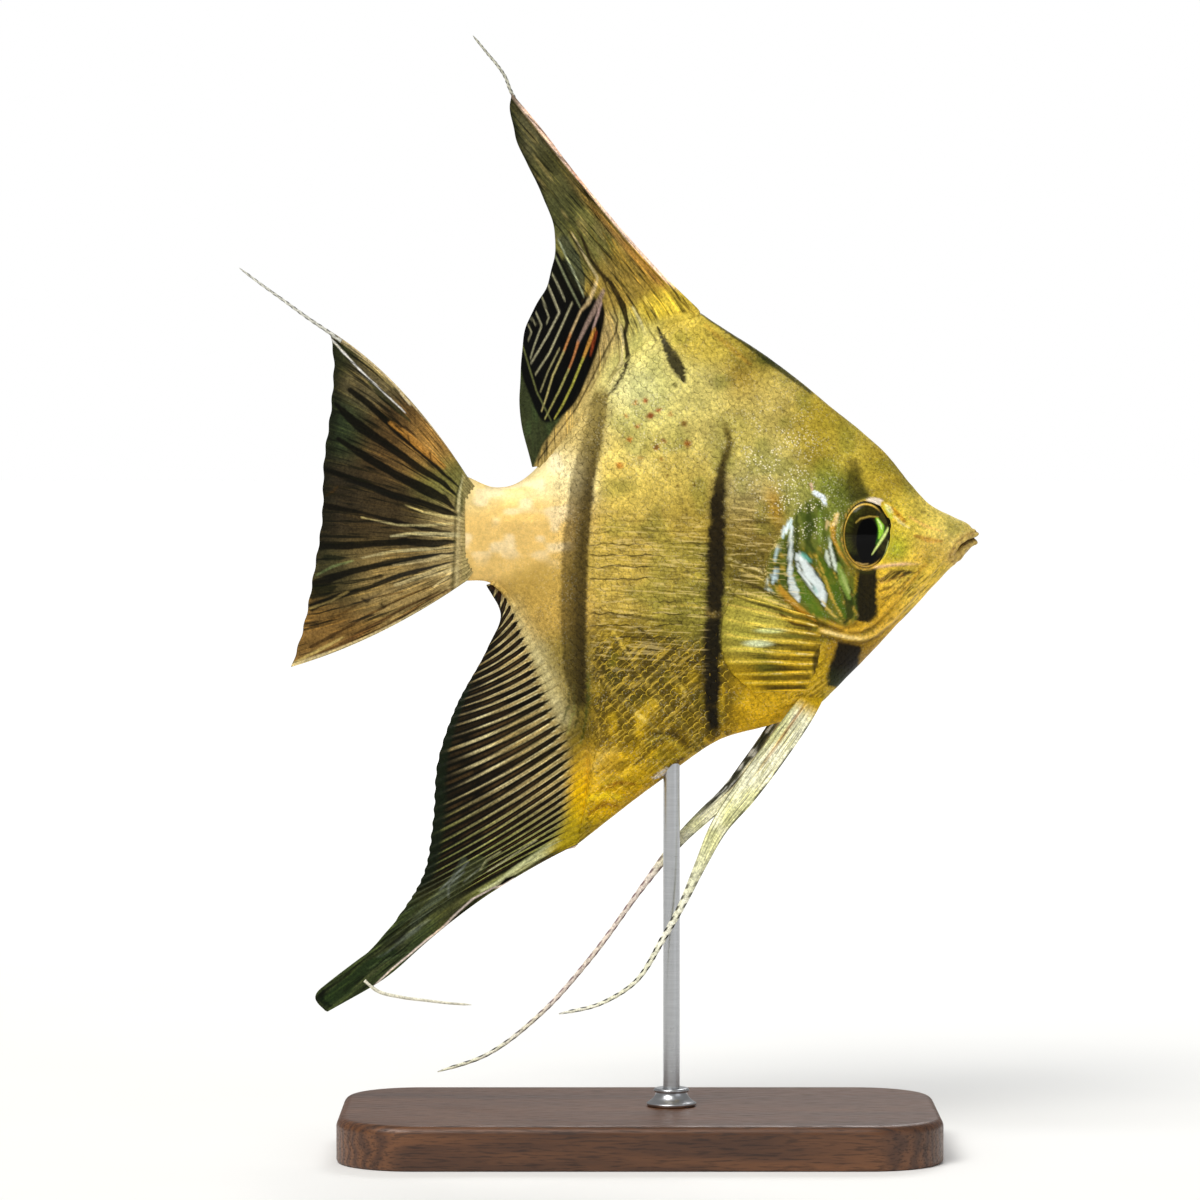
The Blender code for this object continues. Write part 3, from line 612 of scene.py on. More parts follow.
flankStrokes = [
    # The dark wedge and folds at the foot of the tall fin, and the dark edge of the nape.
    ("1c1806", 0.95, [(34.4, 36.2, 0.15), (35.6, 33.6, 0.6), (37, 30.9, 1.05), (38.3, 28.5, 1.1),
                      (39.2, 26.4, 0.35)]),
    ("3f3a14", 0.7, [(31.6, 38, 0.1), (33.6, 34.6, 0.16), (35.4, 31.2, 0.12)]),
    ("2a3010", 0.85, [(40.6, 40.2, 0.3), (45, 37.1, 0.5), (50, 33.8, 0.6), (54, 30.8, 0.75), (58, 27.8, 0.6),
                      (62, 24.6, 0.3)]),
    ("b0862c", 0.5, [(43, 36.6, 0.3), (47, 33, 0.5), (51, 29.6, 0.3)]),
    # The green folds at the foot of the rear bar.
    ("3f4a16", 0.8, [(21.9, -26, 0.2), (22, -30, 0.32), (21.3, -35, 0.2), (20.6, -38.8, 0.1)]),
    ("2c330e", 0.85, [(20.4, -26.4, 0.12), (20.4, -31, 0.22), (19.6, -36, 0.1)]),
    ("2c330e", 0.7, [(18.6, -27.4, 0.1), (18.3, -32, 0.2), (17, -36.4, 0.1)]),
    ("8a8a46", 0.6, [(19.4, -28, 0.1), (19.3, -32.6, 0.2), (18.2, -37, 0.1)]),
    # Golden wires that run back from the cheek over the dark bar, dark between.
    ("3a2e0c", 0.75, [(58, -12.9, 0.2), (52.6, -10.6, 0.35), (47.2, -8.2, 0.15)]),
    ("3a2e0c", 0.75, [(58.3, -15, 0.2), (52.4, -13.3, 0.3), (46.6, -11.4, 0.12)]),
    ("ecd070", 0.95, [(58.3, -11.9, 0.14), (53.5, -9.2, 0.12), (47.5, -6.6, 0.06)]),
    ("ecd070", 0.95, [(58.3, -14.2, 0.14), (52.9, -12.2, 0.12), (43.6, -9.4, 0.06)]),
    ("e4c25a", 0.9, [(58.3, -15.8, 0.14), (52.3, -14.4, 0.12), (43.8, -12.9, 0.06)]),
    ("f0dc94", 0.9, [(57.4, -10.4, 0.1), (52.2, -7.2, 0.1), (46.9, -5.2, 0.05)]),
    ("d8b850", 0.7, [(45.7, -9.6, 0.08), (41, -8.5, 0.1), (38.5, -8.3, 0.05)]),
    ("d8b850", 0.7, [(43.6, -14, 0.08), (39.4, -13.6, 0.1), (35.5, -13.9, 0.05)]),
    ("4c3c12", 0.7, [(54.4, 1.4, 0.16), (51.2, 1.6, 0.3), (48.9, 1.5, 0.1)]),
]

faceStrokes = [
    # Green and golden blades of the gill cover, then its wet pale cyan-white ones with their dark outlines:
    # the pale ones are painted reflections of light on the wet plates.
    ("1c2a0a", 0.8, [(66.2, 0.5, 0.2), (65.6, -3, 0.5), (66.6, -7, 0.7), (68.4, -11.5, 0.8),
                     (68.8, -15.4, 0.7), (67.6, -17, 0.2)]),
    ("2a3a0c", 0.75, [(61.2, 4.6, 0.3), (61.6, 0.8, 0.7), (61.4, -2.4, 0.5), (62.6, -4.4, 0.2)]),
    ("1e2c0a", 0.75, [(59.2, 2.2, 0.2), (59.3, -2, 0.35), (59.2, -6.4, 0.3)]),
    ("8aa03a", 0.6, [(63.4, 3.2, 0.2), (63.6, 0.4, 0.45), (63.3, -2.2, 0.3)]),
    ("55741a", 0.85, [(58.9, -7.7, 0.4), (60.4, -11.2, 0.95), (62.3, -14, 0.9), (65.3, -16.6, 0.3)]),
    ("4a6616", 0.85, [(62.8, -4.6, 0.3), (65, -8.4, 1.0), (66.4, -12, 0.95), (67.9, -15.8, 0.3)]),
    ("8fae46", 0.7, [(66.6, -6.4, 0.4), (67.6, -9.2, 0.8), (68.6, -12.2, 0.3)]),
    ("c4cf7a", 0.6, [(67.0, -7.2, 0.12), (68.2, -10.2, 0.3), (68.7, -11.6, 0.12)]),
    ("2c3a0c", 0.8, [(57.6, 0.2, 0.1), (57.6, -5, 0.12), (57.5, -9.2, 0.12), (58.2, -12, 0.1)]),
    ("dfe9e4", 0.95, [(58.3, 0.6, 0.3), (58.15, -4.7, 0.3), (58.1, -8.6, 0.34), (58.8, -11, 0.75),
                      (59.8, -12.9, 0.15)]),
    ("2c3a0c", 0.8, [(58.7, -0.2, 0.1), (58.65, -5.4, 0.12), (58.7, -7.4, 0.1)]),
    ("cfe2e4", 0.95, [(58.3, 1.5, 0.3), (57.4, 0.2, 0.55), (56.7, -1.1, 0.25)]),
    ("bfd6d4", 0.9, [(56.2, -2.6, 0.2), (55.6, -4.2, 0.35), (55.3, -5.6, 0.15)]),
    ("35430f", 0.8, [(55.9, -6.6, 0.5), (55.2, -8.4, 0.95), (54.8, -10, 0.4)]),
    ("cde2e4", 0.95, [(55.7, -7.2, 0.3), (55.2, -8.4, 0.55), (55, -9.4, 0.2)]),
    ("d9e6dc", 0.85, [(54, -8.4, 0.15), (54, -10.6, 0.2), (54.9, -11.2, 0.15)]),
    ("2c3a0c", 0.85, [(59.6, -4.6, 0.9), (60.4, -6.8, 1.45), (62.3, -9.4, 1.5), (63.8, -11.8, 1.0),
                      (64.2, -14, 0.25)]),
    ("e9f3ef", 1.0, [(59.8, -4.9, 0.7), (60.5, -6.9, 1.15), (62.3, -9.3, 1.25), (63.7, -11.6, 0.78),
                     (64.1, -13.6, 0.1)]),
    ("6fb8a4", 0.85, [(60.3, -4.6, 0.5), (61.5, -5.6, 0.3)]),
    ("a8d4cc", 0.7, [(62.2, -10.2, 0.25), (62.7, -11.2, 0.2)]),
    ("26350e", 0.9, [(59.4, -5.6, 0.09), (60.3, -7.7, 0.12), (61.6, -9.3, 0.12), (62.4, -10.8, 0.09)]),
    ("26350e", 0.9, [(61.9, -6.2, 0.09), (62.6, -8, 0.14), (64, -9.4, 0.09)]),
    ("e2ecd9", 0.95, [(65.1, -1.6, 0.14), (65.2, -3.4, 0.3), (65.8, -5.6, 0.36), (66.2, -7.6, 0.12)]),
    ("e2ecd9", 0.9, [(64.5, -3.9, 0.12), (64.8, -5.4, 0.28), (65.2, -6.8, 0.12)]),
    ("1f2a0a", 0.8, [(64.9, -3.2, 0.09), (65.3, -5.6, 0.12), (65.8, -8, 0.09)]),
    ("d8b246", 0.8, [(62.6, -4.2, 0.1), (64.2, -8.4, 0.14), (65.5, -12.2, 0.16), (67.2, -15.4, 0.12)]),
    ("e4c25a", 0.8, [(63.6, -12.4, 0.1), (65.4, -15, 0.14), (67.6, -16.8, 0.1)]),
    # A small painted reflection high on the cover, with a pinkish stroke above it.
    ("eef6fb", 1.0, [(62.5, 6.6, 0.3), (63.9, 5.7, 0.5), (64.3, 4.6, 0.3)]),
    ("e6b8a0", 0.8, [(61.8, 8.1, 0.22), (62, 7.1, 0.18)]),
    # Golden folds behind the eye and under the cover.
    ("cf9c34", 0.8, [(66.4, 2.4, 0.35), (65.7, 0.4, 0.4), (65.7, -1.6, 0.3), (66.8, -3.8, 0.3),
                     (68.4, -6.2, 0.2)]),
    ("f2d592", 0.9, [(66.6, 2.7, 0.2), (66.0, 0.9, 0.3)]),
    ("e9c98a", 0.8, [(64.8, 1.2, 0.25), (64.4, 0.2, 0.14)]),
    ("57400f", 0.7, [(67.2, 1.6, 0.12), (67, -1.6, 0.16), (68.2, -4.6, 0.12)]),
    ("c9952c", 0.85, [(56.2, -10.4, 0.4), (58, -12.6, 0.6), (60.4, -14.8, 0.5), (62.6, -16.4, 0.25)]),
    # Painted shadow: dark strokes below the golden band at the gill cover's lower edge.
    ("46300c", 0.85, [(56.4, -15.2, 0.2), (58.6, -16.6, 0.45), (61, -17.3, 0.3)]),
    ("4b340e", 0.8, [(64.2, -15.6, 0.12), (67, -17.4, 0.3), (69.8, -18.6, 0.25)]),
    # The dark pit before the cheek bar, with golden hairs of skin across it.
    ("1e1407", 0.9, [(74.4, -9.2, 0.35), (76.4, -8.3, 0.9), (78.6, -7.9, 0.5), (80.4, -7.8, 0.15)]),
    ("c99a3c", 0.9, [(73.9, -9.8, 0.1), (76.2, -9.1, 0.14), (79.4, -8.5, 0.1)]),
    ("dcae56", 0.8, [(74.3, -9, 0.1), (76, -7.4, 0.12)]),
    ("b3822c", 0.8, [(75.6, -9.2, 0.08), (78.2, -8.1, 0.1)]),
    ("5c4213", 0.7, [(74.2, -11.2, 0.14), (77, -9.9, 0.2), (80.5, -8.6, 0.12)]),
    ("5c4213", 0.6, [(74.6, -12.6, 0.12), (77.5, -11.3, 0.18), (80.8, -9.4, 0.1)]),
    ("e3b43c", 0.8, [(74.2, -11.9, 0.12), (77.2, -10.5, 0.18), (80.6, -8.9, 0.1)]),
]


def flankTone(x, z):
    # Soft named tones, mottled, with oval patches, freckles and strokes over them.
    tone = blendedTones(x, z, bodyPlaces)
    tone = patched(tone, x, z, bodyPatches)
    tone = over(tone, "b98426", 0.8 * bell(np.hypot((x - 56.2 + 0.2 * z) / 1.5, (z - 3.4) / 3.6), 1))
    # Painted highlights: pale cloudy patches on the top of the tail stalk.
    stalkHighlight = smooth(0.55, 0.8, cloudy(x * 0.6, z, 1.6, 15)) * smooth(21, 17, x) * smooth(-8, -3, z)
    tone = over(tone, "f6e9c6", 0.4 * stalkHighlight)
    wide, fine = 0.8 + 0.4 * cloudy(x, z, 2.6, 11), 0.9 + 0.2 * cloudy(x, z, 0.8, 12)
    tone *= (wide ** (0.35 + 0.65 * smooth(17, 23, x)) * fine)[:, None]
    tone = over(tone, "5c6a1e", 0.35 * smooth(0.55, 0.85, cloudy(x, z, 3.8, 16)) * smooth(22, 26, x))
    gap = fromLine(x, z, body["combRoot"])[0]
    tone = over(tone, "d6ca94", 0.75 * bell(gap, 2.2) * (0.6 + 0.4 * cloudy(0.8 * x - 0.6 * z, z, 0.8, 17)))
    for x0, z0, size, colour in freckles:
        tone = over(tone, colour, 0.9 * smooth(size + 0.25, size - 0.15, np.hypot(x - x0, z - z0)))
    tone = brushed(tone, x, z, netStrokes, grown=2)
    return brushed(tone, x, z, flankStrokes + sheathFoldShade)


def barTone(tone, x, z):
    # Each bar: dark within its width of its line, where the width wavers by two sizes of mottling.
    for name, (line, widths, colours, soft) in bars.items():
        isRear = name == "rear"
        gap, width = fromLine(x, z, line, widths)
        level = fromLine(x, z, line)[1]
        ragged = 0.5 * (cloudy(x, z, 1.1, 31) - 0.5) + 0.4 * (cloudy(x, z, 0.55, 32) - 0.5)
        dark = smooth(width + soft, width - soft, gap + ragged * (0.3 if isRear else 1))
        shade = over(np.zeros((len(x), 3)) + linear(colours[0]), colours[1], smooth(0.05, 0.4, level))
        shade = over(shade, colours[2], smooth(0.45, 0.9, level))
        ends = smooth(0, 0.06, level) * smooth(1, 0.95, level)
        strength = np.full(len(x), 0.985)
        if isRear:  # thin and brown at its rear edge, darkest at its front edge
            lineX, lineZ = np.array(line[::-1]).T
            strength = 0.72 + 0.25 * smooth(-1.6, 1.2, x - np.interp(z, lineZ, lineX))
        tone += (strength * dark * ends)[:, None] * (shade - tone)
    glint = bell((z + 15.2) / 0.6, 1) * bell((x - 44.4) / 2.2, 1)
    tone = over(tone, "b09447", 0.8 * glint * cloudy(x, z, 0.5, 33))
    tone = over(tone, "4a3a0e", 0.5 * bell((z + 29.6 + 0.05 * x) / 0.3, 1) * bell((x - 44.4) / 1.6, 1))
    return over(tone, "3b5a14", 0.8 * bell(ovalShare(x, z, (69.3, -10.5), (0.6, 4)), 1))


def gillTone(tone, x, z, plate):
    # The gill cover's glossy green plates; `plate` is 1 inside it.
    tone = over(tone, "5d6c24", 0.75 * plate * (1 - 0.35 * smooth(0.5, 0.8, cloudy(x, z, 1.2, 40))))
    tone = over(tone, "3e4f12", 0.7 * plate * smooth(0.5, 0.8, cloudy(x * 1.5 + 0.5 * z, z * 0.5, 1.1, 41)))
    golden = smooth(0.66, 0.82, cloudy(x * 1.6 + 0.6 * z, z * 0.6, 0.7, 43)) * smooth(-1, -6, z)
    tone = over(tone, "c9a43a", 0.7 * plate * golden)
    tone = over(tone, "474f14", 0.75 * bell(ovalShare(x, z, (67.2, 6), (2, 4.2)), 1))
    return brushed(tone, x, z, faceStrokes, 0.25)


def jawTone(tone, x, z):
    # Golden ridges of the jaw and cheek, and the shelf under the eye.
    gap, along = fromLine(x, z, head["jawRidge"])
    tone = over(tone, "57400c", 0.7 * bell(gap - 1.0, 0.35) * smooth(0.75, 0.5, along))
    tone = over(tone, "efc24a", 0.95 * bell(gap, 0.5) * smooth(0, 0.06, along) * smooth(1, 0.6, along))
    shine = smooth(0.02, 0.1, along) * smooth(0.5, 0.25, along)
    tone = over(tone, "f6dc92", 0.8 * bell(gap - 0.1, 0.22) * shine)
    gap, along = fromLine(x, z, head["cheekRidge"])
    tone = over(tone, "e5b536", 0.85 * bell(gap, 0.42) * smooth(0.12, 0.3, along))
    gap, along = fromLine(x, z, head["eyeShelf"])
    return over(tone, "e9bd92", 0.95 * bell(gap, 0.3) * smooth(1, 0.5, along))


def browTone(tone, x, z, share):
    # The eye's thin golden rim, a pale painted highlight above it and golden knobs above that with painted
    # highlights on them; painted shade darkens the skin inside the pit.
    tone = over(tone, "3a3a0e", 0.7 * bell(share - 1.12, 0.05) * smooth(75, 72, x))
    tone = over(tone, "e6b94c", 0.95 * bell(share - 1.03, 0.024) * smooth(74, 72.6, x))
    # A painted highlight: a pale oval above the eye.
    capHighlight = np.hypot((x - 73.3) / 1.6, (z - 4.85 + 0.12 * (x - 73.3)) / 0.68)
    tone = over(tone, "f6e6d0", 0.97 * smooth(1.15, 0.8, capHighlight))
    tone = over(tone, "d9b428", 0.9 * smooth(1.2, 0.7, ovalShare(x, z, (75.2, 3.1), (1.2, 1.2))))
    tone = brushed(tone, x, z, browStrokes)
    # Painted shade: the skin inside the eye's pit is darkened.
    return over(tone, "100f04", smooth(1.0, 0.95, share))


def lipTone(tone, x, z):
    # The lips: brownish folds round the slit; and the nostril.
    gap, along = fromLine(x, z, head["mouth"])
    tone = over(tone, "b08d52", 0.6 * smooth(2.6, 1, gap) * (0.4 + cloudy(x, z, 0.5, 61)))
    tone = over(tone, "7a5426", 0.7 * bell(gap - 1.3, 0.25) * cloudy(x, z, 0.7, 62))
    tone = over(tone, "3a1c0c", 0.95 * bell(gap, 0.3) * smooth(1, 0.7, along))
    return over(tone, "3c2a12", 0.9 * bell(ovalShare(x, z, head["nostril"], (1, 1)), 0.4))


def skinMarks(x, z, share, light):
    # Four shares for the material: dark lines between rows of scales, painted sparkle (bright flecks of
    # painted highlight), golden hairs along the jaw and over the net, and pale hairs along the flank.
    lines = smooth(21, 23, x) * smooth(46, 43, x) * smooth(2, -4, z) * smooth(-29, -23, z)
    lines *= 0.35 + 0.65 * smooth(0.25, 0.5, cloudy(x, z, 4, 21))
    sparkleShare = 0.1 + 0.06 * netShare(x, z)
    for middle, reach, most in (((55.5, 12), (6, 8), 1), ((34, 18), (6, 6), 0.45), ((61, 2), (4.5, 5), 0.9)):
        sparkleShare += most * bell(ovalShare(x, z, middle, reach), 1)
    sparkleShare *= smooth(2.5, 4.5, x) * smooth(0.96, 1.02, share) * smooth(0.02, 0.1, light)
    hairs = 0.6 * smooth(72, 76, x) * smooth(-6, -9, z) + 0.3 * smooth(76, 80, x)
    hairs += 0.8 * smooth(52, 60, x) * smooth(66, 63, x) * smooth(-19, -23, z)
    hairs += 0.5 * np.maximum(netShare(x, z), smooth(-40, -45, z) * smooth(17, 21, x)) * smooth(43, 41, x)
    hairs *= 1 - smooth(1.4, 0.8, ovalShare(x, z, (71.7, -11), (2.4, 6)))
    straws = 0.6 * smooth(46, 48.5, x) * smooth(59, 54, x + 0.3 * z) * smooth(9, 5, z) * smooth(-16, -12, z)
    straws += 0.5 * smooth(21.5, 24, x) * smooth(44, 42, x) * smooth(6, 0, z) * smooth(-30, -20, z)
    return [np.clip(mark, 0, 1) for mark in (lines, sparkleShare, hairs, straws)]


def bodyTone(x, z):
    # The skin's tones from its place seen from the side, each layer over the last. The fourth value is how
    # bright and glassy the place is; the last four are the marks.
    cover, reach = loopShare(x, z, head["gillCover"])
    plate = smooth(0.4, -0.9, (cover - 1) * reach)
    share = eyeShare(x, z)
    tone = barTone(flankTone(x, z), x, z)
    tone = jawTone(gillTone(tone, x, z, plate), x, z)
    tone = lipTone(browTone(tone, x, z, share), x, z)
    gloss = 0.12 + 0.3 * smooth(18, 14, x) * smooth(-16, -8, z) + 0.7 * plate + 0.5 * bell(share - 1.08, 0.1)
    marks = skinMarks(x, z, share, tone.mean(axis=1))
    return np.column_stack([np.clip(tone, 0.001, 1), np.clip(gloss, 0, 1), *marks])


def netShare(x, z):
    # 1 where a golden net shows between the scales, low on the body.
    return smooth(-15, -22, z + 0.1 * (x - 30)) * smooth(21, 24, x) * smooth(51, 46, x)


def endRows(ring, tilts, bulge):
    # Rings that close an end as a quarter circle: each shrinks by the cosine and moves on by the sine.
    rows = []
    for angle in np.linspace(0, np.pi / 2, body["endRows"] + 1)[1:-1]:
        middle = ring.mean(axis=0)
        shrunk = middle + np.cos(angle) * (ring - middle) + [bulge * np.sin(angle), 0, 0]
        rows.append((shrunk, tilts * np.cos(angle) + [np.sign(bulge) * np.sin(angle), 0, 0]))
    return rows


def skinShape():
    # Rows run from tail to snout and are closer in the head; columns go round from the belly up the left side
    # and down the right. The net's ground is a little golden.
    u = np.interp(np.linspace(0, 1, body["rows"]), *body["rowPlaces"])
    turn = np.linspace(0, 2, body["columns"], endpoint=False)
    half = np.where(turn < 1, turn, 2 - turn)
    height = roundHeight(half)
    side = np.where((turn > 0) & (turn < 1), 1.0, -1.0)
    uu, hh, ss = np.repeat(u, len(height)), np.tile(height, len(u)), np.tile(side, len(u))
    rings = flank(uu, hh, ss).reshape(len(u), -1, 3)
    out = flankNormal(uu, hh, ss).reshape(len(u), -1, 3)
    startRows = endRows(rings[0], out[0], body["tailBulge"])[::-1]
    lastRows = endRows(rings[-1], out[-1], body["snoutBulge"])
    rings, out = (
        np.concatenate([[row[k] for row in startRows], middle, [row[k] for row in lastRows]])
        for k, middle in enumerate((rings, out))
    )
    flat = rings.reshape(-1, 3)
    x, z = flat[:, 0], flat[:, 2]
    lifted = flat + relief(x, z)[:, None] * out.reshape(-1, 3)
    tones = bodyTone(x, z)
    tones[:, :3] = over(tones[:, :3], "caa53a", 0.45 * netShare(x, z))
    tones = tones.reshape(*rings.shape[:2], -1)
    places = np.concatenate([np.zeros(len(startRows)), u, np.ones(len(lastRows))])
    places = np.clip(places + np.linspace(-1e-3, 1e-3, len(places)), 0, 1)
    return loft(lifted.reshape(rings.shape), tones, (0, 0, 1, 1), places)


scales = {
    # Step along a row (rows are half as far apart), half the length, half the width, share of the full
    # rise, and how far from the outline and the gill cover the scales keep.
    "flank": (2.1, 1.32, 0.98, 1.0, 0.8, 0.9),
    "head": (1.25, 0.8, 0.58, 0.6, 0.55, 0.5),
    "seeds": {"flank": 6, "head": 5},
    "sides": 10,
    "rings": (0.5, 0.85, 1.0, 0.9),  # radii; the last is the underside's
    "rootDepth": 0.07,
    "lift": 0.16,
    "dome": 0.09,
    "underside": 0.07,
    "patch": 0.003,  # size of each scale's own patch on the map
    "tailFrom": 1.8,  # where the coat starts over the tail stalk
    "headTo": 83.5,  # and where it ends before the snout
    "offEye": 1.3,  # the head's scales keep out of this much more than the eye
    "offJaw": 1.0,  # and this far from the jaw's ridge
    # The lookup from place to skin coordinates: its corner, count of cells, size of a cell, and how many
    # places of the skin it samples.
    "lookupFrom": (-2.0, -60.0),
    "lookupCells": (400, 420),
    "cell": 0.25,
    "samples": (1100, 1300),
}


def skinLookup():
    # Finds the skin's own coordinates (u, height) for a place seen from the side: a fine net of them is
    # averaged in cells of x and z, and the cells outside the fish take their neighbours' values.
    u, height = np.meshgrid(*(np.linspace(0, 1, count) for count in scales["samples"]), indexing="ij")
    u, height = u.ravel(), height.ravel()
    place = flank(u, height, np.ones(len(u)))
    low, size = np.array(scales["lookupFrom"]), scales["lookupCells"]
    i = np.round((place[:, [0, 2]] - low) / scales["cell"]).astype(int)
    flat = i[:, 0] * size[1] + i[:, 1]
    total = size[0] * size[1]
    count = np.bincount(flat, minlength=total).reshape(size)
    known = count > 0
    sums = [np.bincount(flat, weights=value, minlength=total).reshape(size) for value in (u, height)]
    table = np.stack(sums, axis=-1) / np.maximum(count, 1)[..., None]
    inside = known.copy()
    moves = ((1, 0), (-1, 0), (0, 1), (0, -1))
    for _ in range(8):
        spread = known.astype(float)[..., None]
        around = sum(np.roll(table * spread, move, axis=(0, 1)) for move in moves)
        weight = sum(np.roll(spread, move, axis=(0, 1)) for move in moves)
        fresh = (~known) & (weight[..., 0] > 0)
        table[fresh] = (around / np.maximum(weight, 1))[fresh]
        known |= fresh
    # How far inside the outline a cell lies, in cells, by peeling the shape layer by layer.
    depth = inside.astype(int)
    layer = inside
    for _ in range(12):
        layer = np.all([layer, *(np.roll(layer, move, axis=(0, 1)) for move in moves)], axis=0)
        depth += layer
    return low, table, depth


lookupLow, lookupTable, lookupDepth = skinLookup()


def atPlace(table, x, z):
    # Value of a lookup table at x, z, blended between the four nearest cells.
    a = np.clip((x - lookupLow[0]) / scales["cell"], 0, table.shape[0] - 2)
    b = np.clip((z - lookupLow[1]) / scales["cell"], 0, table.shape[1] - 2)
    i, j = np.floor(a).astype(int), np.floor(b).astype(int)
    s, t = (a - i)[:, None], (b - j)[:, None]
    low = table[i, j] * (1 - s) + table[i + 1, j] * s
    high = table[i, j + 1] * (1 - s) + table[i + 1, j + 1] * s
    return low * (1 - t) + high * t


def onSkin(x, z, side, lift):
    # The point of the skin at a place seen from the side, lifted outward.
    coordinates = atPlace(lookupTable, x, z)
    u, height = coordinates[:, 0], coordinates[:, 1]
    sides = np.full(len(x), float(side))
    point, normal = flank(u, height, sides), flankNormal(u, height, sides)
    return point + (relief(x, z) + lift)[:, None] * normal


def lattice(step, seed):
    # Places of scales: rows half a step apart, every second row moved by half a step, and a little uneven.
    columns, rows = np.meshgrid(
        np.arange(-2, int(100 / step)), np.arange(int(-64 / step * 2), int(46 / step * 2))
    )
    a = (columns + 0.5 * (rows % 2)).ravel() * step
    b = rows.ravel() * step / 2
    uneven = np.random.default_rng(seed).normal(0, 0.035 * step, (2, len(a)))
    return a + uneven[0], b + uneven[1]


def scaleTone(px, pz, rim, bright):
    # The same markings as the skin's, a little different on each scale, with its rear rim gold or dark.
    tone = bodyTone(px, pz)
    net = netShare(px, pz)
    tone[:, :3] *= bright[:, None]
    light = tone[:, :3].mean(axis=1)
    ground = net * (1 - rim) * smooth(0.012, 0.05, light) * smooth(-48, -35, pz)
    tone[:, :3] = over(tone[:, :3], "372c08", 0.75 * ground * smooth(0.12, 0.4, cloudy(px, pz, 2.4, 73)))
    golden = rim * net * smooth(0.1, 0.5, cloudy(px, pz, 3, 71)) * smooth(0.02, 0.08, light)
    tone[:, :3] = over(tone[:, :3], "ecc83c", 0.95 * golden)
    seam = 0.1 * rim * (1 - net) * smooth(0.35, 0.85, cloudy(px, pz, 4, 72)) * smooth(16, 24, px)
    tone[:, :3] *= (1 - seam)[:, None]
    return np.clip(tone, 0.0, 1)


def scaleFaces(count):
    # Faces of every scale: a fan at the top, bands between the rings and a fan underneath.
    sides, rings = scales["sides"], len(scales["rings"])
    each = 2 + rings * sides
    k, after = np.arange(sides), (np.arange(sides) + 1) % sides
    fans = np.concatenate([
        np.stack([np.zeros(sides, int), 1 + k, 1 + after], axis=1),
        np.stack([np.full(sides, each - 1), each - 1 - sides + after, each - 1 - sides + k], axis=1),
    ])
    bands = np.concatenate([
        np.stack([a + k, a + sides + k, a + sides + after, a + after], axis=1)
        for a in 1 + sides * np.arange(rings - 1)
    ])
    offset = (np.arange(count) * each)[:, None, None]
    return (bands[None] + offset).reshape(-1, 4), (fans[None] + offset).reshape(-1, 3)


def scaleShape(side, place):
    # Each scale is a closed dome of rings over a flat underside, wider than deep, its root sunk and its rear
    # edge lifted: lift = dome (1 - r squared) + tilt times the share of the way to the rear.
    step, length, width, rising, edgeGap, coverGap = scales[place]
    x, z = lattice(step, scales["seeds"][place])
    headFrom = np.interp(z, *np.array(sorted((z0, x0) for x0, z0 in body["headBehind"])).T) - 0.4
    cover, reach = loopShare(x, z, head["gillCover"])
    margin = atPlace(lookupDepth[..., None].astype(float), x, z)[:, 0] * scales["cell"]
    keep = (margin > edgeGap) & ((cover - 1) * reach > coverGap)
    if place == "head":
        keep &= (x > headFrom) & (x < scales["headTo"]) & (eyeShare(x, z) > scales["offEye"])
        keep &= fromLine(x, z, head["jawRidge"])[0] > scales["offJaw"]
    else:
        keep &= (x <= headFrom) & (x > scales["tailFrom"])
    x, z, margin = x[keep], z[keep], margin[keep]
    random = np.random.default_rng(9 + side)
    size = 0.94 + 0.12 * random.random(len(x))
    size = size * (0.72 + 0.28 * smooth(0.4, 3.5, margin)) * (0.86 + 0.14 * smooth(4, 16, x))
    turn = 0.30 * np.tanh(z / 30) + random.normal(0, 0.05, len(x))

    # One scale's points: towards the tail, and across.
    sides, rings = scales["sides"], scales["rings"]
    radii = np.concatenate([[0], np.repeat(rings, sides), [0]])
    angles = np.concatenate([[0], np.tile(np.linspace(0, 2 * np.pi, sides, endpoint=False), len(rings)), [0]])
    along, across = radii * np.cos(angles), radii * np.sin(angles)
    under = np.arange(len(radii)) > (len(rings) - 1) * sides
    rise = scales["dome"] * (1 - radii**2) * (1 - under) - scales["underside"] * under - scales["rootDepth"]
    tilted = (along + 1) / 2 * scales["lift"]
    bared = smooth(13, 22, x)  # on the stalk only the middle of each scale rises out of the skin
    da = (along[None, :] * length * size[:, None]).ravel()
    db = (across[None, :] * width * size[:, None]).ravel()
    each = len(radii)
    tilt = np.repeat(turn, each)
    px = np.repeat(x, each) - (da * np.cos(tilt) - db * np.sin(tilt))
    pz = np.repeat(z, each) - (da * np.sin(tilt) + db * np.cos(tilt))
    proud = size * (0.26 + 0.7 * netShare(x, z) + 0.12 * random.random(len(x))) * rising
    raised = ((rise + tilted * bared[:, None]) * proud[:, None]).ravel()
    points = onSkin(px, pz, side, raised)
    quads, triangles = scaleFaces(len(x))

    # Map: each scale is a patch of its own round its root's place on the unwrap of the skin.
    roots = atPlace(lookupTable, x + length * size, z)
    turns = np.linspace(0, 1, 60)
    half = np.interp(roots[:, 1], roundHeight(turns), turns)
    rootV = half / 2 if side > 0 else 1 - half / 2
    uv = np.stack([np.repeat(roots[:, 0], each), np.repeat(rootV, each)], axis=1)
    uv += scales["patch"] / 2 * np.tile(np.stack([along, across], axis=1), (len(x), 1))
    uv = np.clip(uv, 0, 1)

    rim = np.tile(smooth(0.84, 1.0, radii) * smooth(-0.6, 0.2, along), len(x))
    bright = np.repeat(1.02 + 0.2 * (random.random(len(x)) - 0.5) * smooth(14, 22, x), each)
    return {
        "points": points, "tones": scaleTone(px, pz, rim, bright),
        "quads": quads, "quadUv": uv[quads], "triangles": triangles, "triangleUv": uv[triangles],
    }

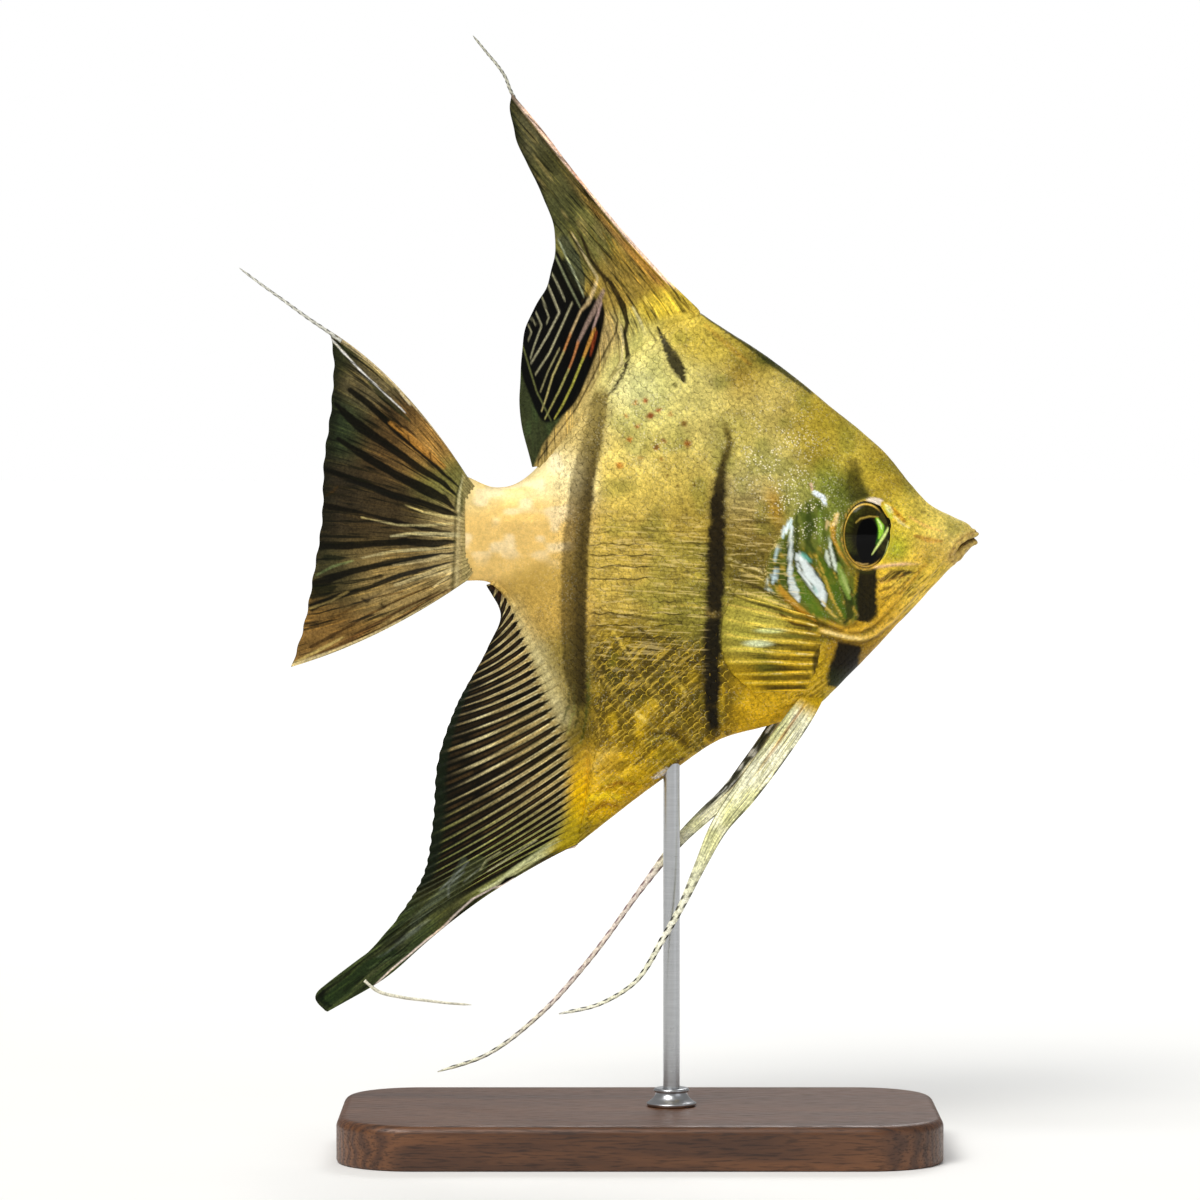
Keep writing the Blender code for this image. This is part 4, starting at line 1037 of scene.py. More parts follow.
fins = {
    "web": 0.16,  # thickness of the web between rays
    "ray": 0.42,  # thickness at a ray
    "sunk": 2.2,  # how far a fin's root runs on inside the body
    "rows": 104,
    "columns": 440,
    "streaks": 2.4,  # streaks in the web from one ray to the next
    "streamerRadius": 0.34,
    "streamerSides": 12,
}


def bodyEdge(top, reach, at):
    # The back or belly from the fin's first ray to the place where z is `reach`.
    columns = slice(0, 2) if top else slice(2, 4)
    fine = stations(np.linspace(1, 0, 200))[:, columns]
    ends = np.nonzero(np.abs(fine[:, 1]) < abs(reach))[0]
    return stroke(fine[: ends[0] + 1], at)


def intoBody(line, sign, first):
    # The direction from a root line into the body: its left or right, and `first` at its front end.
    def inward(u):
        points = line(u)
        own = smooth(1.5, 6, np.hypot(*(points - points[0]).T))[:, None]
        return own * (shifted(points, sign) - points) + (1 - own) * np.array(first)

    return inward


def thread(fin):
    # A round thread along a line: it thins towards its end, and where it has beads it is dashed dark.
    rows = 90
    share = np.linspace(0, 1, rows)
    line = stroke(fin["streamer"], share)
    run = np.gradient(line, axis=0)
    run /= np.linalg.norm(run, axis=1)[:, None]
    angle = np.linspace(0, 2 * np.pi, fins["streamerSides"], endpoint=False)
    thick = fins["streamerRadius"] * (1 - 0.45 * share) * (1 + fin["beads"] * np.sin(share * rows * 1.1))
    thick = (thick * np.minimum(1, 0.25 + 12 * (1 - share)))[:, None]
    out = thick * np.cos(angle)
    x, z = line[:, :1] - run[:, 1:] * out, line[:, 1:] + run[:, :1] * out
    rings = np.stack([x, thick * np.sin(angle), z], axis=-1)
    tones = np.zeros((*rings.shape[:2], 8)) + np.array([*linear(fin["streamerColour"]), 0.3, 0, 0, 0, 0])
    if fin["beads"]:
        facing = np.cos(angle)[None, :]
        dash = smooth(-0.1, 0.4, np.sin(share * rows * 0.9)[:, None] * np.sign(facing))
        tones[..., :3] *= (1 - 0.9 * dash * smooth(0.2, 0.8, np.abs(facing)))[..., None]
    return loft(rings, tones, (0, 0.92, 1, 1))


def finShape(fin, root, edge, bow, inward, rayAt, toneOf, flow, aside=None):
    # A web of rays from root(u) to edge(u): each ray is a parabola bent by bow(u), set out to the side by
    # aside(x, z, v). The web is thick at each ray, which rayAt(u) places, and thin between; it waves a
    # little from side to side, swells where it leaves the body, and its edge is scalloped. The marks hold
    # how far a place lies across the streaks, flow(x, z, u), and along them, in millimetres.
    rows, columns = fin.get("rows", fins["rows"]), fin.get("columns", fins["columns"])
    u = np.linspace(0, 1, columns)
    v = np.concatenate([[-0.06, -0.03], np.linspace(0, 1, rows - 2) ** 1.1])
    start, end = root(u), edge(u)
    middle = (start + end) / 2 + bow(u)
    phase = 2 * np.pi * fin["rays"] * rayAt(u)
    beat = np.cos(phase)
    step = np.clip(v, 0, 1)[:, None, None] * (1 - 0.004 * (1 - beat) * smooth(0.5, 1, v)[:, None])[..., None]
    ray = (1 - step) ** 2 * start + 2 * step * (1 - step) * middle + step**2 * end
    ray = ray + np.clip(-v / 0.06, 0, 1)[:, None, None] * inward(u)[None] * fins["sunk"]
    x, z = ray[..., 0], ray[..., 1]
    vv, uu = np.clip(v, 0, 1)[:, None] + np.zeros_like(x), u[None, :] + np.zeros_like(x)
    sharp = (0.5 + 0.5 * beat) ** 1.5
    thick = fins["web"] + (fins["ray"] - fins["web"]) * sharp[None, :] * smooth(1.02, 0.55, vv)
    swelling = fin["swell"] * smooth(0.1, -0.01, v) * smooth(-0.07, 0, v)
    thick = thick * (0.45 + 0.55 * smooth(1, 0.9, vv)) + swelling[:, None]
    waves = np.sin(5.5 * uu + 2.2 * vv) + 0.35 * np.sin(13 * uu - 3 * vv)
    sway = fin["wave"] * smooth(0.02, 0.4, vv) * waves + 0.1 * np.sin(phase)[None, :] * smooth(0, 0.1, vv)
    if aside is not None:
        sway = sway + aside(x, z, v)
    border = smooth(0, 0.006, uu) * smooth(1, 0.994, uu) * (v < 1)[:, None] * (v > v[0])[:, None]
    front, back = (np.stack([x, sway + sign * thick / 2 * border, z], axis=-1) for sign in (-1, 1))
    along = np.cumsum(np.hypot(np.diff(x, axis=0, prepend=x[:1]), np.diff(z, axis=0, prepend=z[:1])), axis=0)
    tones = toneOf(x.ravel(), z.ravel(), uu.ravel(), vv.ravel()).reshape(*x.shape, 5)
    marks = np.stack([flow(x, z, uu), along, tones[..., 4], np.zeros_like(x)], axis=-1)
    box = (0, 0, 1, 0.9 if "streamer" in fin else 1)
    return sheet(front, back, np.concatenate([tones[..., :4], marks], axis=-1), box)


def withGloss(tone, gloss):
    # Tones with how bright and glassy each place is as their fourth value.
    return np.concatenate([np.clip(tone, 0.001, 1), np.zeros((len(tone), 1)) + gloss], axis=1)


def withStreaks(tone, gloss, streaks):
    # The same, and the share of the material's streaks at each place.
    return np.column_stack([withGloss(tone, gloss), np.zeros(len(tone)) + streaks])


dorsal = {
    "front": [(41.6, 39.6), (36.4, 44.6), (29.7, 51.8), (17.8, 66.2), (12.4, 73.2), (7.9, 78.5)],
    "rear": [(7.9, 78.5), (8, 74), (9.3, 69), (12.6, 62.2), (16, 52.4), (14.8, 44.5), (10.8, 36.5), (9.8, 28),
             (9.7, 20.5), (11.9, 11)],
    "streamer": [(9.6, 75.6), (7.9, 78.9), (7.2, 80.8), (5.6, 83.2), (4, 85.1), (1.3, 88.4)],
    "streamerColour": "b9b8a8", "beads": 0.12,
    "tipAt": 0.5,
    # The rays round `bowAt` are bowed by `bow`; the last one leaves the body where z is `reach`.
    "bow": (11, 2), "bowAt": 0.52, "bowSpan": 0.22, "reach": 11.2,
    "rays": 23, "wave": 0.5, "swell": 1.3,
    "lobe": [(16.3, 50), (21.3, 42), (24.3, 40.8), (24.2, 34), (22, 27.7), (18.6, 21.4), (14.4, 19),
             (11.4, 24), (9.6, 30), (9.8, 35), (11.6, 40.5), (14.2, 46.5)],
    # The lobe's dark green border reaches forward to this x at each height.
    "border": ((9.8, 11.8), (15, 13.9), (19.2, 16.8), (23.9, 19.8), (27.7, 21.8), (34, 23.9), (40.5, 24.2)),
}

dorsalPlaces = {
    "root": ((38, 38.5), 4, "c6ac42"),
    "yellow": ((36, 38), 3, "e0c438"),
    "sheathRear": ((24.5, 33), 2.6, "a48e58"),
    "sheath": ((27, 32), 2.4, "b8a266"),
    "sheathFront": ((32, 34), 3, "aea65e"),
    "ridge": ((29.6, 46), 3.5, "97803a"),
    "edge": ((33.5, 47), 3, "a8862e"),
    "olive": ((22.3, 54), 4, "6e6a36"),
    "oliveRear": ((17.5, 56), 3, "4c4f2e"),
    "upper": ((17, 63), 4, "4e4c2a"),
    "tip": ((10.5, 74), 5, "4e4b30"),
    "foot": ((16, 16), 3.5, "b39a5a"),
}

dorsalStrokes = [
    ("10120a", 0.95, [(21.1, 41.8, 0.3), (19.7, 44.1, 0.5), (17.6, 47.9, 0.5)]),
    ("3c4230", 0.8, [(17.6, 51.9, 0.8), (19.1, 48.5, 1.3), (20.5, 45, 0.9), (21.1, 42.7, 0.3)]),
    ("a0a684", 0.8, [(16.6, 51.9, 0.12), (19.7, 45.3, 0.14), (21.2, 41.7, 0.1)]),
    ("8a8f6a", 0.85, [(16.1, 48.9, 0.13), (18.2, 44.4, 0.14), (20.5, 39.8, 0.08)]),
    ("b0ac88", 0.8, [(15.5, 45.7, 0.1), (16.6, 43.6, 0.12), (17.8, 41, 0.08)]),
    ("b8b28e", 0.85, [(14.8, 43.7, 0.1), (16.8, 38.8, 0.13), (14.8, 34.9, 0.12), (13, 31.8, 0.1),
                      (11.7, 29.7, 0.07)]),
    ("a8a480", 0.75, [(13.7, 41.5, 0.09), (14.9, 37.9, 0.1), (14.5, 36.8, 0.07)]),
    ("b0ac88", 0.8, [(12.6, 38.8, 0.08), (13.6, 36.4, 0.1), (12.3, 32.9, 0.1), (11.6, 30.6, 0.07)]),
    ("a8a480", 0.7, [(11.7, 37.8, 0.08), (12.6, 36.6, 0.07)]),
    ("a8a480", 0.7, [(11.2, 36.6, 0.08), (11.8, 35.2, 0.09), (11.2, 33.8, 0.07)]),
    ("b4ae86", 0.85, [(19.1, 40.5, 0.1), (17.1, 36.1, 0.13), (15, 31.5, 0.12), (12.5, 27.7, 0.08)]),
    ("a8a070", 0.7, [(16.8, 32.3, 0.1), (14.8, 28.3, 0.1), (13.4, 24.6, 0.08)]),
    ("c2a878", 0.9, [(23.4, 44.1, 0.3), (22.2, 40.7, 0.26), (20.7, 39.2, 0.16), (18.8, 34.9, 0.17)]),
    ("c0844c", 0.9, [(18.8, 34.9, 0.17), (17.6, 31.8, 0.14)]),
    ("b0a468", 0.9, [(17.6, 31.8, 0.14), (15.6, 27.4, 0.13), (14.5, 23.7, 0.12), (13.6, 21.1, 0.08)]),
    ("8c7668", 0.9, [(24.7, 42.6, 0.35), (23.4, 39.8, 0.42), (21.7, 36.6, 0.36), (20.2, 33.5, 0.26)]),
    ("b07444", 0.9, [(20.2, 33.5, 0.22), (19.4, 30.9, 0.16), (18.5, 28.6, 0.14)]),
    ("a09a58", 0.9, [(18.5, 28.6, 0.15), (16.8, 24.8, 0.14), (14.2, 19.7, 0.08)]),
    ("c9a89c", 0.8, [(24.4, 40.7, 0.12), (23.7, 38.4, 0.2), (22.8, 35.8, 0.12)]),
    ("c08a3c", 0.9, [(23.1, 35.8, 0.26), (22.1, 33.2, 0.3), (21.1, 30.6, 0.2)]),
    ("7a3418", 0.85, [(23.4, 35.2, 0.25), (22.8, 32.9, 0.3), (22.4, 31.2, 0.15)]),
    ("a8a444", 0.9, [(21.1, 30.6, 0.18), (19.1, 25.7, 0.16), (17.4, 22.2, 0.16), (15.9, 19.7, 0.08)]),
    ("6b6f40", 0.7, [(10, 33.5, 0.1), (11.3, 29.2, 0.12), (12.7, 24.6, 0.12), (13.8, 22.4, 0.1),
                     (15.3, 19.4, 0.08)]),
    ("cbb98a", 0.7, [(19.2, 52.8, 0.12), (22.2, 47.4, 0.16), (23.7, 45, 0.2), (23.1, 42.7, 0.14),
                     (21.7, 40.7, 0.1)]),
    ("2a200c", 0.8, [(18.5, 53.4, 0.1), (21.7, 47.4, 0.12), (23.1, 45.3, 0.12), (22.2, 42.7, 0.12),
                     (20.8, 40.7, 0.1)]),
    ("4e4018", 0.75, [(28.9, 42.1, 0.1), (30.6, 39.5, 0.12), (31.6, 36.9, 0.12), (32.2, 33.8, 0.12),
                      (33.9, 30.6, 0.08)]),
    ("352a0c", 0.85, [(31.8, 33.9, 0.14), (32.5, 32.8, 0.16), (33, 31.9, 0.06)]),
    ("5b4a18", 0.7, [(29.6, 37.5, 0.09), (30.9, 35.2, 0.1), (32, 33.5, 0.08)]),
    ("7a6620", 0.7, [(27.7, 44.3, 0.12), (30.3, 43, 0.16), (31.8, 41, 0.16), (33.5, 38.1, 0.16),
                     (34.9, 35.1, 0.1)]),
    ("e6dca0", 0.6, [(30, 39.8, 0.2), (31.2, 37.5, 0.26), (32.6, 34.1, 0.22), (34.6, 30.6, 0.14)]),
    ("d8c25a", 0.5, [(32, 41.5, 0.3), (33.8, 38.7, 0.4), (35.8, 35.2, 0.3)]),
    ("1c1806", 0.95, [(34.4, 36.2, 0.15), (35.6, 33.6, 0.6), (37, 30.9, 1.1), (38.3, 28.5, 1.2),
                      (39.2, 26.4, 0.4)]),
    ("8a6c22", 0.7, [(28.3, 51.9, 0.12), (30.6, 47.9, 0.2), (32.9, 44.1, 0.2), (35.2, 41.5, 0.12)]),
    ("7a5c1c", 0.6, [(31.5, 48.2, 0.1), (34.3, 44.7, 0.16), (38.1, 41.3, 0.16), (41.5, 38.1, 0.1)]),
    ("6f5a20", 0.6, [(24.6, 53.1, 0.12), (26.9, 49.3, 0.18), (29.2, 45.3, 0.18), (30.6, 43.3, 0.1)]),
    ("5e4c1a", 0.6, [(22.5, 53.4, 0.12), (25.1, 49, 0.16), (27.4, 44.7, 0.12)]),
    ("c7a040", 0.6, [(26.3, 51.9, 0.16), (28.9, 47.6, 0.22), (31.2, 44.1, 0.2)]),
]


def dorsalTone(x, z, u, v):
    # Golden at its front root, olive to the tip, a pale leading edge, a beige sheath with painted shade along
    # its folds; the rear lobe is black with pale bent rays, inside a smooth dark green border that reaches
    # down to the foot.
    tone = blendedTones(x, z, dorsalPlaces)
    tone *= (0.85 + 0.3 * cloudy(x, z, 2.2, 81))[:, None]
    across, along = x + 0.75 * z, 0.25 * (z - x)
    tone = over(tone, "2c2c14", 0.5 * smooth(0.55, 0.85, cloudy(across, along, 1.4, 83)) * smooth(42, 52, z))
    tone = over(tone, "8a7c4a", 0.5 * smooth(0.6, 0.85, cloudy(across, along, 1.2, 84)) * smooth(42, 52, z))
    share, reach = loopShare(x, z, dorsal["lobe"])
    inside = smooth(0.3, -0.3, (share - 1) * reach)
    border = smooth(0.45, -0.45, x - np.interp(z, *zip(*dorsal["border"]))) * smooth(43, 39, z)
    tone = over(tone, "25301a", 0.97 * border)
    tone = over(tone, "3c4c28", 0.5 * border * smooth(0.4, 0.8, cloudy(x * 2, z * 0.5, 1.5, 85)))
    tone = over(tone, "030302", 0.99 * inside)
    tone = brushed(tone, x, z, sheathFoldShade + dorsalStrokes)
    gap = fromLine(x, z, dorsal["front"])[0]
    above = smooth(42, 45, z)
    tone = over(tone, "b07c3c", 0.6 * bell(gap - 1.5, 0.7) * above * smooth(66, 50, z))
    tone = over(tone, "33240c", 0.7 * bell(gap - 0.95, 0.16) * above)
    tone = over(tone, "f4d2ba", 0.97 * smooth(0.75, 0.45, gap) * above)
    tone = over(tone, "1d2210", 0.8 * smooth(0.93, 0.99, v) * smooth(52, 58, z) * smooth(0.4, 0.5, u))
    near = smooth(0.14, 0.0, v) * smooth(0.02, 0.06, u) * smooth(0.8, 0.7, u)
    tone += near[:, None] * (bodyTone(x, z)[:, :3] - tone)
    return withStreaks(tone, 0.15, np.clip(1 - 0.85 * np.maximum(inside, border) - near, 0, 1))


def dorsalFlow(x, z, u):
    # Upright low on the fin; above, beside its leading edge.
    heights = np.linspace(0, 90, 400)
    leaned = np.cumsum(smooth(28, 46, heights)) * heights[1]
    return 0.756 * x + 0.655 * np.interp(z, heights, leaned)


def dorsalShape():
    # Its first ray leaves the nape and its last the tail stalk; the edge runs up to the tip and down again.
    def root(u):
        return bodyEdge(True, dorsal["reach"], u)

    def edge(u):
        return twoStrokes(dorsal["front"], dorsal["rear"], dorsal["tipAt"], u)

    def bow(u):
        return bell(u - dorsal["bowAt"], dorsal["bowSpan"])[:, None] * np.array(dorsal["bow"])

    inward = intoBody(root, 1, (-0.1, -1))
    return finShape(dorsal, root, edge, bow, inward, np.asarray, dorsalTone, dorsalFlow)


anal = {
    "front": [(19.6, -57.6), (16.5, -58.3), (8.5, -63.2), (-2.7, -70.6), (-15.5, -81.8), (-25.2, -87.3)],
    "rear": [(-25.2, -87.3), (-27.4, -85.2), (-20.8, -79.4), (-12.6, -70.4), (-7.8, -62.4), (-6.1, -53),
             (-5.2, -42.1), (-2.1, -32.6), (4, -21.2), (6.2, -15.6), (3.6, -10.2)],
    "streamer": [(-18.4, -81.6), (-16.2, -83.4), (-11.9, -84.6), (-7.4, -85.2), (-3.2, -85.7), (0.9, -86)],
    "streamerColour": "dcd8c2", "beads": 0.0,
    "bow": (-2.4, 3.2), "rearBow": (0.8, -1.2), "reach": -9.95,
    "rays": 34, "wave": 0.5, "swell": 1.3,
    # Across the web from its first ray to its last: the share of the root and of the edge that each ray
    # joins.
    "across": [0, 0.24, 0.36, 0.44, 0.51, 0.59, 0.68, 0.78, 0.88, 1],
    "atRoot": [0, 0.03, 0.112, 0.225, 0.322, 0.44, 0.582, 0.712, 0.842, 1],
    "atEdge": [0, 0.374, 0.545, 0.598, 0.643, 0.71, 0.796, 0.85, 0.91, 1],
}

analPlaces = {
    "root": ((17, -40), 6, "7c6c34"),
    "upper": ((9, -26), 5, "5a4a26"),
    "middle": ((6, -48), 8, "4e4024"),
    "low": ((2, -62), 6, "3c3e20"),
    "tip": ((-18, -81), 8, "3b4626"),
    "rear": ((-4, -50), 4, "1c1e10"),
}

analStrokes = [
    ("3d4226", 0.8, [(2.5, -60.5, 1.4), (-2.5, -64.8, 1.8), (-7.6, -69.8, 1.7), (-12.6, -74.9, 1.4),
                     (-18, -79.9, 1.3), (-22.7, -83.5, 1)]),
    ("1b2a12", 0.85, [(-13, -76.3, 0.7), (-18, -79.2, 1), (-22, -82.8, 1.3), (-24.8, -85, 1),
                      (-26.6, -85, 0.5)]),
    ("0f170a", 0.9, [(-25.9, -83.5, 0.3), (-26.3, -85.3, 0.5), (-24.5, -86.4, 0.3)]),
    # Painted sheen: grey strokes over the lobe that stand for light on its surface.
    ("4a5240", 0.5, [(-0.4, -59.8, 0.6), (-2.5, -64.1, 0.9), (-6.5, -68, 0.8), (-9.7, -71.3, 0.6)]),
    ("8d938c", 0.4, [(0.4, -60.1, 0.12), (-2.5, -63, 0.16), (-4.7, -65.2, 0.12)]),
    ("8d938c", 0.4, [(-0.4, -61.9, 0.1), (-3.2, -64.4, 0.14), (-3.2, -66.6, 0.1)]),
    ("9aa08e", 0.4, [(2.5, -61.2, 0.08), (-0.4, -63.7, 0.1)]),
    ("767d72", 0.4, [(-6.8, -70.6, 0.12), (-9.7, -72.7, 0.3), (-13, -74.9, 0.16)]),
    ("6f776a", 0.4, [(-8.3, -72, 0.1), (-11.9, -74.9, 0.14), (-15.8, -77.4, 0.12)]),
    ("4c5a38", 0.7, [(-9.7, -76.3, 0.1), (-14.4, -77.8, 0.16), (-18, -79.6, 0.1)]),
    ("a9a878", 0.75, [(6.1, -58.3, 0.14), (3.6, -59.8, 0.12), (2.5, -61.6, 0.09)]),
    ("b9b68a", 0.8, [(12.6, -56.2, 0.12), (8.3, -59, 0.13), (4.3, -61.6, 0.12), (3.8, -61.9, 0.06)]),
    ("1a1b0e", 0.8, [(10.4, -56.5, 0.14), (6.5, -59, 0.16), (3.6, -60.8, 0.08)]),
    ("c2c490", 0.8, [(16.6, -56.5, 0.7), (12.6, -59.4, 0.8), (9, -61.6, 0.7), (5.8, -63.9, 0.4),
                     (2.5, -65.5, 0.2)]),
    ("7d8254", 0.7, [(14.4, -56.9, 0.1), (10.1, -60.1, 0.12), (6.1, -63, 0.1)]),
    ("5e6238", 0.8, [(16.9, -58, 0.08), (12.6, -60.1, 0.12), (9, -62.5, 0.08)]),
    ("0d0b06", 1.0, [(6.1, -64.3, 0.14), (7.2, -63.5, 0.4), (8.5, -62.8, 0.16)]),
    ("ecd9cc", 0.9, [(8.5, -63.2, 0.08), (6.5, -64.5, 0.12), (5, -64.8, 0.12), (1.1, -66.9, 0.14),
                     (-1.8, -69.5, 0.14), (-4, -71.8, 0.14), (-7.2, -74.3, 0.14), (-10.4, -77, 0.14),
                     (-13.7, -79.7, 0.12), (-16.7, -82.6, 0.08)]),
]


def analFlow(x, z, u):
    # Beside its rays, which lie along the tip's own direction further out.
    return 0.5 * fins["streaks"] * anal["rays"] * analRootShare(u) + 0.5 * (0.8 * z - 0.6 * x)


def analRootShare(u):
    # The share of the root that each ray joins: the rays stand closer together at the front.
    return through(anal["across"], np.array(anal["atRoot"])[:, None], u)[:, 0]


def analTone(x, z, u, v):
    # Beige rays that leave the body as a comb, with black web between; a green-black edge and tip.
    at = analRootShare(u)
    tone = blendedTones(x, z, analPlaces)
    rays = anal["rays"]
    # How far a place lies from the middle of the web between two rays, as a share of their spacing.
    offset = np.abs((at * rays) % 1 - 0.5)
    lobe = np.maximum(smooth(-62, -70, z + 0.3 * x), smooth(0.27, 0.2, u))
    wedge = 0.24 + 0.11 * smooth(0.2, 0.85, v) + 0.1 * cloudy(at * rays, v * 2, 1, 93)
    wedge = wedge * smooth(0.05, 0.2, v)
    web = smooth(wedge + 0.08, wedge - 0.05, offset)
    tone = over(tone, "070603", 0.98 * web * (1 - 0.8 * lobe) * smooth(0.03, 0.1, v))
    beside = bell(offset - 0.06, 0.05) * (1 - lobe) * smooth(0.12, 0.3, v)
    tone = over(tone, "6e5430", 0.5 * beside * cloudy(x, z, 2, 94))
    ray = smooth(wedge, wedge + 0.09, offset)
    pale = 0.3 + 0.7 * smooth(-62, -38, z)
    tone = over(tone, "a08a56", 0.8 * ray * (1 - lobe) * (0.55 + 0.45 * smooth(1, 0.5, v)) * pale)
    glint = bell(offset - wedge - 0.07, 0.04) * (0.4 + 0.6 * cloudy(x, z, 3, 91))
    tone = over(tone, "e2d6a0", 0.9 * glint * (1 - lobe) * smooth(0.98, 0.6, v) * pale)
    tone = over(tone, "7f8a3e", 0.6 * ray * (1 - lobe) * smooth(-46, -58, z))
    tone = over(tone, "0d0f07", 0.5 * smooth(0.6, 0.97, v) * (1 - 0.9 * glint) * smooth(0.34, 0.42, u))
    tone = over(tone, "121a0c", 0.95 * smooth(0.9, 0.95, v) * smooth(0.4, 0.44, u) * smooth(0.85, 0.76, u))
    tone = over(tone, "2a120a", 0.6 * smooth(0.94, 0.97, u) * smooth(0.7, 0.4, v))
    tone = brushed(tone, x, z, analStrokes)
    tone = over(tone, "ecd9cc", 0.9 * smooth(0.012, 0.004, u) * smooth(0.0, 0.1, v))
    near = smooth(0.17, 0.05, v) * (1 - 0.9 * web) * smooth(0.12, 0.2, u)
    tone += near[:, None] * (bodyTone(x, z)[:, :3] - tone)
    return withStreaks(tone, 0.15, np.clip((0.6 + 0.4 * lobe) * (1 - web * (1 - lobe)) - near, 0, 1))


def analShape():
    # Its first ray leaves the belly's tip and its last the tail stalk; the front rays are bowed back.
    def root(u):
        return bodyEdge(False, anal["reach"], analRootShare(u))

    def edge(u):
        at = through(anal["across"], np.array(anal["atEdge"])[:, None], u)[:, 0]
        return twoStrokes(anal["front"], anal["rear"], anal["atEdge"][1], np.clip(at, 0, 1))

    def bow(u):
        front, rear = smooth(0.02, 0.24, u) * smooth(0.4, 0.24, u), smooth(0.26, 0.44, u) * smooth(1, 0.7, u)
        return front[:, None] * np.array(anal["bow"]) + rear[:, None] * np.array(anal["rearBow"])

    inward = intoBody(root, -1, (0.5, 0.87))
    return finShape(anal, root, edge, bow, inward, analRootShare, analTone, analFlow)


tail = {
    "edge": [(-24.6, 35.6), (-23.9, 31), (-24.2, 23), (-25.6, 12), (-26, 1.4), (-27.4, -7.5), (-29.6, -18.5),
             (-31.6, -25)],
    "streamer": [(-22.4, 33.6), (-25, 35.5), (-28.1, 37.6), (-32.8, 41), (-37.8, 44.6), (-40.7, 46.8)],
    "streamerColour": "c9c8bc", "beads": 0.12,
    "topBow": (0.8, 5), "footBow": (0, -3.2), "rootAt": 0.2, "rootHeight": 18.8,
    "rays": 15, "wave": 0.7, "swell": 1.9,
}

tailPlaces = {
    "root": ((-1, 0), 5, "a4905e"),
    "rootTop": ((-4, 8), 4, "6c6a34"),
    "middle": ((-12, 3), 6, "3a2f1c"),
    "upper": ((-13, 16), 5, "4c3a20"),
    "upperRear": ((-22, 18), 4, "26301c"),
    "topEdge": ((-7, 15), 4, "9c763c"),
    "top": ((-17, 27), 4, "5c5236"),
    "rear": ((-24, 6), 5, "2c2518"),
    "low": ((-15, -10), 5, "8c7646"),
    "lowRear": ((-23, -10), 4, "383620"),
    "foot": ((-24, -20), 6, "76592c"),
    "tipTop": ((-23, 31), 3, "2c3018"),
}

